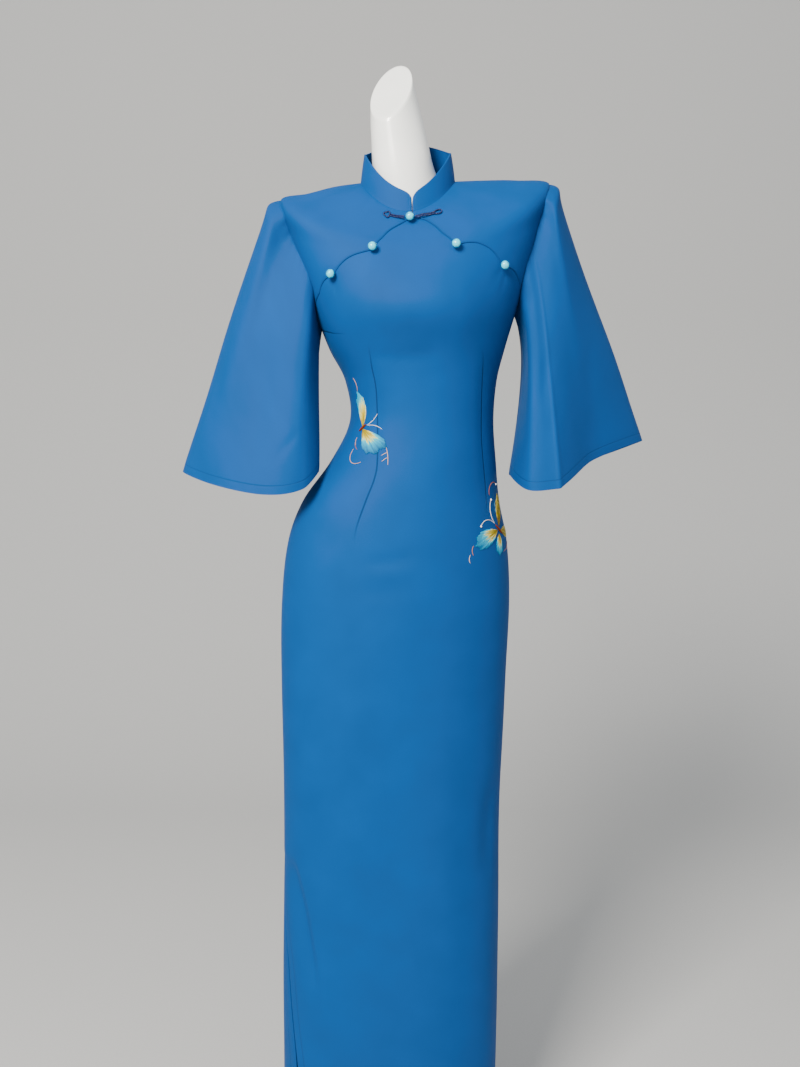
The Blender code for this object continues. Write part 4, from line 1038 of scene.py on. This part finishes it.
# ---------------------------------------------------------------- trims
PIPING_RADIUS, PIPING_LIFT = 1.1 * MM, 0.1 * MM
PIPING_END, PIPING_SLEEVE_END = 1.8 * MM, 6.0 * MM
BALL_SQUASH = 0.92
BUTTON_RADIUS, COLLAR_BUTTON_RADIUS = 6.2 * MM, 6.0 * MM
CORD_TURN, CORD_POINTS = 4.0 * MM, 320
STRAND_SWING, STRAND_RADIUS = 0.46 * MM, 0.60 * MM
FROG_MIDDLE = (0.0256, 1.4026)
FROG_LIFT, FROG_RISE, FROG_STEP = 1.5 * MM, 2.3 * MM, 0.012
FROG = {
    -1: ((0.0182, 1.4058), (0.0104, 1.4078), (0.0005, 1.4104), (-0.0019, 1.4112),
         (-0.0014, 1.4131), (-0.0025, 1.4146), (-0.0047, 1.4144), (-0.0061, 1.4136),
         (-0.0077, 1.4136), (-0.0101, 1.4120), (-0.0088, 1.4095), (-0.0074, 1.4087),
         (-0.0066, 1.4074), (-0.0048, 1.4061), (-0.0031, 1.4068), (-0.0026, 1.4087),
         (-0.0001, 1.4082), (0.0098, 1.4056), (0.0176, 1.4035)),
    1: ((0.0336, 1.4039), (0.0453, 1.4075), (0.0571, 1.4111), (0.0612, 1.4113),
        (0.0658, 1.4120), (0.0685, 1.4142), (0.0682, 1.4166), (0.0655, 1.4177),
        (0.0617, 1.4166), (0.0587, 1.4145), (0.0554, 1.4130), (0.0447, 1.4097),
        (0.0329, 1.4061)),
}


def make_piping(name, side):
    """The cord along a lapel's edge, from the centre front to just short of the sleeve."""
    marks = LAPELS[side]
    normals = body_normals(marks)
    path = on_body(marks) + normals * PIPING_LIFT
    path[0] += unit(path[1] - path[0]) * PIPING_END
    reach = np.linalg.norm(path - path[-1], axis=-1) > PIPING_SLEEVE_END
    return joined_mesh(name, [tube_parts(path[reach], PIPING_RADIUS, normals[reach], sides=12)])


def make_ball(name, place, radius):
    """A ball button, a little flat along its axis, standing on the piping."""
    mark = locate(place)[0]
    normal = Vector(body_normals(mark))
    lift = 2 * PIPING_RADIUS + 2 * REST_GAP + radius * BALL_SQUASH
    angle = np.linspace(0.03, math.pi - 0.03, 25)
    profile = np.stack((np.sin(angle), -np.cos(angle) * BALL_SQUASH), axis=-1) * radius
    turn = np.array(normal.to_track_quat("Z", "Y").to_matrix())
    rings = turned_net(profile, 40) @ turn.T + on_body(mark) + np.array(normal) * lift
    return closed_mesh(name, rings)


def make_frog(name, side):
    """Two strands twisted together, out from the ball, round their end loop and back."""
    marks = smooth_line([locate(place)[0] for place in FROG[side]], 16)
    base, normals = on_body(marks), body_normals(marks)
    over = np.clip(2 - np.abs(base[:, 0] - CENTRE_TOP[0]) / FROG_STEP, 0, 1)
    path = base + normals * (FROG_LIFT + FROG_RISE * over**2 * (3 - 2 * over))[:, None]
    normals = spaced(normals, CORD_POINTS, path)
    path = spaced(path, CORD_POINTS)
    across = unit(np.cross(np.gradient(path, axis=0), normals))
    strands = []
    for start in (0.0, math.pi):
        turn = (lengths_along(path) / CORD_TURN * 2 * math.pi + start)[:, None]
        swing = across * np.cos(turn) + normals * np.sin(turn)
        strands.append(tube_parts(path + swing * STRAND_SWING, STRAND_RADIUS, normals))
    return joined_mesh(name, strands)


# ---------------------------------------------------------------- embroidery
# Places in mm on the cloth: across at that height, and up, from each butterfly's mark.
# Headings are degrees from across towards up. A wing is a fan of stitches: root across
# and up, headings of its leading and trailing edge, reach, where its tip lies between
# them, scallops, tones from root to edge, and the way in which its tone rises further.
# A line is a curl: start across and up, heading, length, degrees it bends, tone, width,
# and whether a pearl knot ends it.
BUTTERFLIES = {
    "left": {
        "origin": (-54.92, 1.1235),
        "wings": (
            ((-1, 1), 82, 124, 50, 0.45, 5, (0.12, 0.50), (-1.0, 0.0)),
            ((0, -2), -14, -66, 57, 0.25, 6, (0.10, 0.56), (0.1, -0.7)),
        ),
        "body": ((4, 4), (-5, -5)),
        "lines": (
            ((6, 3), 28, 22, 36, 0.0, 0.7, False), ((8, 3), 8, 26, -40, 0.0, 0.7, False),
            ((-10, 50), 64, 19, 60, 0.45, 0.9, False),
            ((-5, -14), -95, 12, 60, 0.45, 0.9, False), ((-3, -23), -48, 12, 20, 0.6, 0.9, False),
            ((-1, -30), -100, 38, 130, 0.40, 0.9, False),
            ((50, -27), -50, 28, -14, 0.35, 1.0, False),
            ((55, -34), -160, 7, 30, 0.3, 0.8, False), ((59, -41), -150, 7, 30, 0.3, 0.8, False),
        ),
    },
    "right": {
        "origin": (62.25, 0.9805),
        "wings": (
            ((4, 4), 88, 44, 48, 0.40, 6, (0.05, 0.30), (-0.1, 0.0)),
            ((8, -3), 20, -34, 34, 0.50, 4, (0.12, 0.36), (0.0, 0.0)),
            ((-1, -1), 174, 226, 54, 0.55, 7, (0.12, 0.66), (-0.1, -0.5)),
            ((1, -7), 232, 300, 30, 0.50, 5, (0.14, 0.80), (0.0, -0.1)),
        ),
        "body": ((-5, 6), (10, -7)),
        "lines": (
            ((-6, 8), 128, 36, -72, 0.0, 0.7, True), ((-8, 9), 136, 33, 100, 0.0, 0.8, True),
            ((-10, 48), 108, 36, -150, 0.6, 0.9, True),
            ((4, 38), 215, 8, 90, 0.8, 0.7, False), ((4, 30), 215, 8, 90, 0.8, 0.7, False),
            ((-54, -20), -130, 14, 70, 0.55, 1.1, False), ((-60, -32), -125, 12, 60, 0.25, 0.9, False),
            ((38, -20), -135, 30, -40, 0.5, 0.6, False),
        ),
    },
}
WING_ROOT, WING_ROUND = 0.38, 0.75      # share of the reach at a wing's two edges, fullness
SCALLOP_DEPTH, FLECK = 0.10, 0.09       # share that a scallop bites in, change of tone
# mm along a wing's edge, width in steps, widest width in mm, mm from bend to bend of a thread
THREAD_STEP, THREAD_OVERLAP, WIDEST_THREAD, BEND_STEP = 0.85, 1.25, 1.7, 2.2
LINE_WIDTH, BODY_WIDTH, BODY_STEPS = 0.9, 3.4, 14
# start and end shares of a band of stitches, steps from thread to thread, lift in mm
BANDS = ((0.00, 0.45, 3, 0.50), (0.33, 0.76, 2, 0.40), (0.62, 1.00, 1, 0.30))
PEARL_KNOT = ((-1.2, 1.2), (-0.6, 2.4), (0.0, 2.8), (0.6, 2.4), (1.2, 1.2))      # up, width
LINE_LIFT, KNOT_LIFT, BODY_LIFT = 0.45, 0.8, 0.9
MAP_STEP, MAP_REACH, MAP_TURN = 4, 84, 110.0      # mm, mm and degrees


def cloth_map(origin):
    """Turns over the front, for places across and up from an origin mark."""
    reach = np.arange(-MAP_REACH, MAP_REACH + 1, MAP_STEP)
    turns = np.arange(-MAP_TURN, MAP_TURN + 0.1)
    rows = []
    for up in reach:
        ring = on_body(np.stack((turns, np.full(len(turns), origin[1] + up * MM)), axis=-1))
        length = lengths_along(ring)
        rows.append(np.interp(reach * MM, length - np.interp(origin[0], turns, length), turns))
    return np.array(rows)


def on_map(table, origin, places):
    """Marks of places across and up, in mm, from a map's origin mark."""
    at = (places + MAP_REACH) / MAP_STEP
    low = np.clip(np.floor(at).astype(int), 0, len(table) - 2)
    across, up = low[..., 0], low[..., 1]
    s, t = (at - low)[..., 0], (at - low)[..., 1]
    turn = ((table[up, across] * (1 - s) + table[up, across + 1] * s) * (1 - t)
            + (table[up + 1, across] * (1 - s) + table[up + 1, across + 1] * s) * t)
    return np.stack((turn, origin[1] + places[..., 1] * MM), axis=-1)


def stitched(name, origin, threads):
    """Threads over the folded front, each of places in mm, width, tone and lift in mm."""
    counts = [len(places) for places, *_ in threads]
    marks = on_map(cloth_map(origin), origin, np.concatenate([places for places, *_ in threads]))
    lifts = np.repeat([lift * MM for *_, lift in threads], counts)
    base, normals = on_body(marks), body_normals(marks)
    points = base + normals * (front_depth(base) * MM + lifts)[:, None]
    parts, start = [], 0
    for (_, width, tone, _), count in zip(threads, counts):
        lot = slice(start, start + count)
        parts.append(tube_parts(points[lot], width / 2 * MM, normals[lot], sides=6, tone=tone))
        start += count
    return joined_mesh(name, parts)


def wing_edge(root, lead, trail, reach, tip):
    """Outer edge of a wing that fans out from its root and is longest at its tip."""
    share = np.linspace(0, 1, 61)
    across = np.where(share < tip, share / tip / 2, 1 - (1 - share) / (1 - tip) / 2)
    radius = reach * (WING_ROOT + (1 - WING_ROOT) * np.sin(across * math.pi) ** WING_ROUND)
    heading = np.radians(lead + (trail - lead) * share)
    return root + radius[:, None] * np.stack((np.cos(heading), np.sin(heading)), axis=-1)


def curl(start, heading, length, bend):
    """Places along a thread that bends evenly from a heading."""
    count = max(int(length / 0.8), 4)
    ways = np.radians(heading + bend * (np.arange(count) + 0.5) / count)
    steps = np.cumsum(np.stack((np.cos(ways), np.sin(ways)), axis=-1), axis=0) * length / count
    return np.concatenate(([start], start + steps))


def stitch(chance, ray, band, tones, lean, fleck):
    """Places along one satin stitch of a band, its widths, its tones and its lift."""
    start, end, every, lift = band
    a = max(start + chance.uniform(-0.05, 0.05), 0.04)
    b = end + chance.uniform(-0.07, 0.07) * (end < 1)
    steps = np.linspace(a, b, max(int(np.linalg.norm(ray) * (b - a) / BEND_STEP), 2) + 1)
    width = THREAD_STEP * every * THREAD_OVERLAP * np.clip(steps, 0.25, 1.0)
    width[-1] *= 0.7
    first, last = tones
    tone = (first + (last - first) * steps**1.8 + (ray @ lean) * steps**1.4
            + fleck + chance.uniform(-0.08, 0.08))
    return (ray * steps[:, None], np.minimum(width, WIDEST_THREAD), np.clip(tone, 0, 1),
            lift + chance.uniform(0, 0.12))


def make_wings(name, drawn):
    """Satin stitches that fan out from each wing's root, in three overlapping bands."""
    chance = np.random.default_rng(len(name))
    threads = []
    for root, lead, trail, reach, tip, scallops, tones, lean in drawn["wings"]:
        root, lean = np.array(root, float), np.array(lean) / 50
        edge = wing_edge(root, lead, trail, reach, tip)
        count = int(lengths_along(edge)[-1] / THREAD_STEP)
        edge = spaced(edge, count)
        share = np.linspace(0, 1, count + 1) * math.pi
        bite = 1 - SCALLOP_DEPTH * np.abs(np.cos(share * scallops)) * np.sqrt(np.sin(share))
        fleck = chance.uniform(-FLECK, FLECK, count // 3 + 1)
        for band in BANDS:
            for k in range(0, count + 1, band[2]):
                ray = (edge[k] - root) * (bite[k] + chance.uniform(-0.03, 0.03))
                places, *rest = stitch(chance, ray, band, tones, lean, fleck[k // 3])
                threads.append((root + places, *rest))
    return stitched(name, drawn["origin"], threads)


def make_lines(name, drawn):
    """The body, feelers, tendrils and pearl knots of a butterfly."""
    threads = []
    knot_up, knot_width = np.array(PEARL_KNOT).T
    for start, heading, length, bend, tone, width, pearl in drawn["lines"]:
        line = curl(np.array(start, float), heading, length, bend)
        swell = 0.55 + 0.45 * np.sin(np.linspace(0.1, math.pi - 0.4, len(line)))
        threads.append((line, LINE_WIDTH * width * swell, tone, LINE_LIFT))
        if pearl:
            knot = line[-1] + np.stack((0 * knot_up, knot_up), axis=-1)
            threads.append((knot, knot_width, 0.0, KNOT_LIFT))
    head, tail = np.array(drawn["body"], float)
    line = head + (tail - head) * np.linspace(0, 1, BODY_STEPS)[:, None]
    swell = np.sin(np.linspace(0.5, math.pi - 0.35, BODY_STEPS))
    threads.append((line, BODY_WIDTH * swell, 1.0, BODY_LIFT))
    return stitched(name, drawn["origin"], threads)


# ---------------------------------------------------------------- form and stand
FORM_GAP, FORM_BOTTOM = 6.2 * MM, 0.800
# height, tilt, slope, centre, middle, half_width, depth
FORM_NECK = np.array((
    (1.4580, 0.0010, 0.030, 0.0205, -0.001, 0.0500, 0.0455),
    (1.4850, 0.0030, 0.034, 0.0160, -0.003, 0.0430, 0.0425),
    (1.5200, 0.0070, 0.038, 0.0110, -0.005, 0.0385, 0.0415),
    (1.5600, 0.0120, 0.041, 0.0045, -0.005, 0.0335, 0.0405),
    (1.5900, 0.0165, 0.043, 0.0000, -0.005, 0.0290, 0.0400),
))
FORM_TURNS = np.arange(0.0, 360.0, 3.0)
# the rounded bottom: share of the ring above, and drop
FORM_UNDER, FORM_LOW = (0.97, 0.009), (0.94, 0.0145)
# place up the neck's rows and inset of the rings that round the cap off and close it
CAP_RINGS = ((3.99, 0.0005), (4.0, 0.0020), (4.0, 0.0040), (4.0, 0.0120), (4.0, 0.0220))
POLE_RADIUS, POLE_EDGE, BASE_HEIGHT = 12.5 * MM, 0.6 * MM, 0.018
BASE_RADIUS, BASE_BEVEL, BASE_RIM = 0.160, 1.5 * MM, 5.5 * MM
BASE_ROUND = (20 * MM, 8.5 * MM)      # width and height of the rounding over the rim
BASE_TOP = ((0.120, 15.5 * MM), (0.060, 17.4 * MM), (0.030, 17.9 * MM), (0.016, 17.9 * MM))


def make_form():
    """The smooth limbless form, with a flat slanted cap on its neck."""
    levels = np.concatenate((np.linspace(0.815, 1.40, 60), np.linspace(1.405, 1.5, 16)))
    marks = np.stack(np.meshgrid(FORM_TURNS, levels), axis=-1)
    body = on_body(marks) - body_normals(marks) * FORM_GAP
    (share, drop), (low_share, low_drop) = FORM_UNDER, FORM_LOW
    under = body[0] * (share, share, 1) + body[0].mean(axis=0) * (1 - share, 1 - share, 0)
    rings = [under * (low_share, low_share, 1) - (0, 0, low_drop), under - (0, 0, drop), *body]
    side, front = np.sin(np.radians(FORM_TURNS)), np.cos(np.radians(FORM_TURNS))
    knots = np.concatenate((np.arange(5.0)[:, None], FORM_NECK), axis=1)
    for at, inset in [(at, 0.0) for at in np.linspace(0, 3.97, 26)] + list(CAP_RINGS):
        _, height, tilt, slope, centre, middle, half, depth = smooth_row(knots, np.array(at))
        half, depth = half - inset, depth - inset * depth / half
        if inset:
            tilt, slope = np.array((tilt, slope)) * half / FORM_NECK[-1][5]
        rings.append(np.stack((centre + half * side, middle - depth * front,
                               height + tilt * side - slope * front), axis=-1))
    return closed_mesh("form_body", np.array(rings), angle=60)


def make_base():
    """A round plate, bevelled below, rounded over its rim and rising a little to the pole."""
    wide, high = BASE_ROUND
    profile = [(0.05, 0.0), (BASE_RADIUS - BASE_BEVEL, 0.0), (BASE_RADIUS, BASE_BEVEL)]
    profile += [(BASE_RADIUS - wide + wide * math.cos(a), BASE_RIM + high * math.sin(a))
                for a in np.linspace(0, math.pi / 2, 9)]
    return closed_mesh("base_plate", turned_net(profile + list(BASE_TOP), 128))


def make_pole():
    """A tube with rounded edges at both ends."""
    inset = POLE_RADIUS - POLE_EDGE
    profile = [(POLE_RADIUS * 0.3, BASE_HEIGHT)]
    for end, first, last in ((BASE_HEIGHT + POLE_EDGE, -90, 0), (FORM_BOTTOM - POLE_EDGE, 0, 90)):
        profile += [(inset + POLE_EDGE * math.cos(a), end + POLE_EDGE * math.sin(a))
                    for a in np.radians(np.linspace(first, last, 7))]
    profile += [(POLE_RADIUS * 0.3, FORM_BOTTOM)]
    return closed_mesh("pole_tube", turned_net(profile, 64))


# ---------------------------------------------------------------- place every piece
SIDES = {"left": -1, "right": 1}
cloths = {"front_panel": make_front("front_panel"),
          "yoke_left": make_yoke("yoke_left", -1),
          "yoke_right": make_yoke("yoke_right", 1),
          "back_panel": make_back("back_panel"),
          "sleeve_left": make_sleeve("sleeve_left", -1, LEFT_SLEEVE_CREASES),
          "sleeve_right": make_sleeve("sleeve_right", 1, RIGHT_SLEEVE_CREASES),
          "collar": make_collar("collar")}
placed = {name: add_piece(name + "_cloth", mesh, CREPE, "crepe", name)
          for name, (mesh, _) in cloths.items()}

piping = {end: add_piece("piping_" + end + "_cord", make_piping("piping_" + end, side),
                         CREPE_BIAS, "crepe", "piping_" + end)
          for end, side in SIDES.items()}
balls = {"button_" + end + "_" + spot: (LAPEL[side][lobe][-1], BUTTON_RADIUS)
         for end, side in SIDES.items() for lobe, spot in enumerate(("inner", "outer"))}
balls["collar_button"] = (FROG_MIDDLE, COLLAR_BUTTON_RADIUS)
buttons = [add_piece(name + "_pearl", make_ball(name, *ball), PEARL, "button", name)
           for name, ball in balls.items()]
frogs = [add_piece(name + "_twist", make_frog(name, side), CORD, "cord", name)
         for name, side in (("frog_left", -1), ("frog_right", 1))]
for end, drawn in BUTTERFLIES.items():
    wings, feelers = "wings_" + end, "feelers_" + end
    add_piece(wings, make_wings(wings, drawn), FLOSS, "crepe")
    add_piece(feelers, make_lines(feelers, drawn), FINE_FLOSS, "crepe")

add_piece("form_body", make_form(), lacquered_form(), "form", "dress_form")
add_piece("base_plate", make_base(),
          powder_coat("white_powder_coated_steel", "#e9e9e4", "#dcdcd6", 0.38, 1.2 * MM),
          "base", "stand_base")
add_piece("pole_tube", make_pole(), brushed_steel(), "steel", "stand_pole")


# ---------------------------------------------------------------- studio
# metres: front end, where the floor starts to bend up, radius of the bend, top, half width
SWEEP_FRONT, SWEEP_BACK, SWEEP_BEND, SWEEP_TOP, SWEEP_HALF = -12.0, 1.6, 1.6, 7.0, 7.0
WORLD_COLOUR, WORLD_STRENGTH = "#e6e9ec", 1.12
FOCAL_SHARE = 1150 / 1067     # the lens's length in heights of the picture
SENSOR_HEIGHT = 36.0
CAMERA_PLACE, CAMERA_TILT = (0.0123, -1.66, 1.13), 84.5


def make_sweep():
    """A pale floor that curves up into a backdrop."""
    profile = [(SWEEP_FRONT, 0.0)]
    profile += [(SWEEP_BACK + SWEEP_BEND * math.sin(a), SWEEP_BEND - SWEEP_BEND * math.cos(a))
                for a in np.linspace(0, math.pi / 2, 25)]
    profile += [(SWEEP_BACK + SWEEP_BEND, SWEEP_TOP)]
    across = np.linspace(-SWEEP_HALF, SWEEP_HALF, 9)
    points = np.array([[(x, y, z) for x in across] for y, z in profile])
    index = np.arange(len(profile) * len(across)).reshape(len(profile), len(across))
    mesh = bpy.data.meshes.new("sweep")
    mesh.from_pydata(points.reshape(-1, 3).tolist(), [], quads(index[:, :-1], index[:, 1:]).tolist())
    mesh.shade_smooth()
    mesh.materials.append(powder_coat("matt_painted_sweep", "#b1b1b0", "#adadac", 0.85, 4 * MM))
    sweep = show("sweep", mesh)


def add_light(name, place, aim, size, power, colour):
    """A rectangular lamp of a width and height in metres and a power in watts."""
    lamp = bpy.data.lights.new(name, "AREA")
    lamp.shape = "RECTANGLE"
    lamp.size, lamp.size_y = size
    lamp.energy = power
    lamp.color = srgb(colour)[:3]
    shown = show(name, lamp)
    shown.location = place
    shown.rotation_euler = (Vector(aim) - Vector(place)).to_track_quat("-Z", "Y").to_euler()


make_sweep()
add_light("key", (-1.4, -2.9, 3.0), (0.0, 0.0, 1.1), (1.3, 1.3), 390, "#fffaf2")
add_light("fill", (2.6, -2.6, 1.6), (0.0, 0.0, 0.9), (2.4, 2.4), 12, "#eef4ff")

world = bpy.data.worlds.new("studio")
bpy.context.scene.world = world
world.use_nodes = True
world.node_tree.nodes["Background"].inputs["Color"].default_value = srgb(WORLD_COLOUR)
world.node_tree.nodes["Background"].inputs["Strength"].default_value = WORLD_STRENGTH

camera = bpy.data.cameras.new("camera")
camera.sensor_fit = "VERTICAL"
camera.sensor_height = SENSOR_HEIGHT
camera.lens = FOCAL_SHARE * SENSOR_HEIGHT
camera_object = show("camera", camera)
camera_object.location = CAMERA_PLACE
camera_object.rotation_euler = (math.radians(CAMERA_TILT), 0.0, 0.0)
bpy.context.scene.camera = camera_object
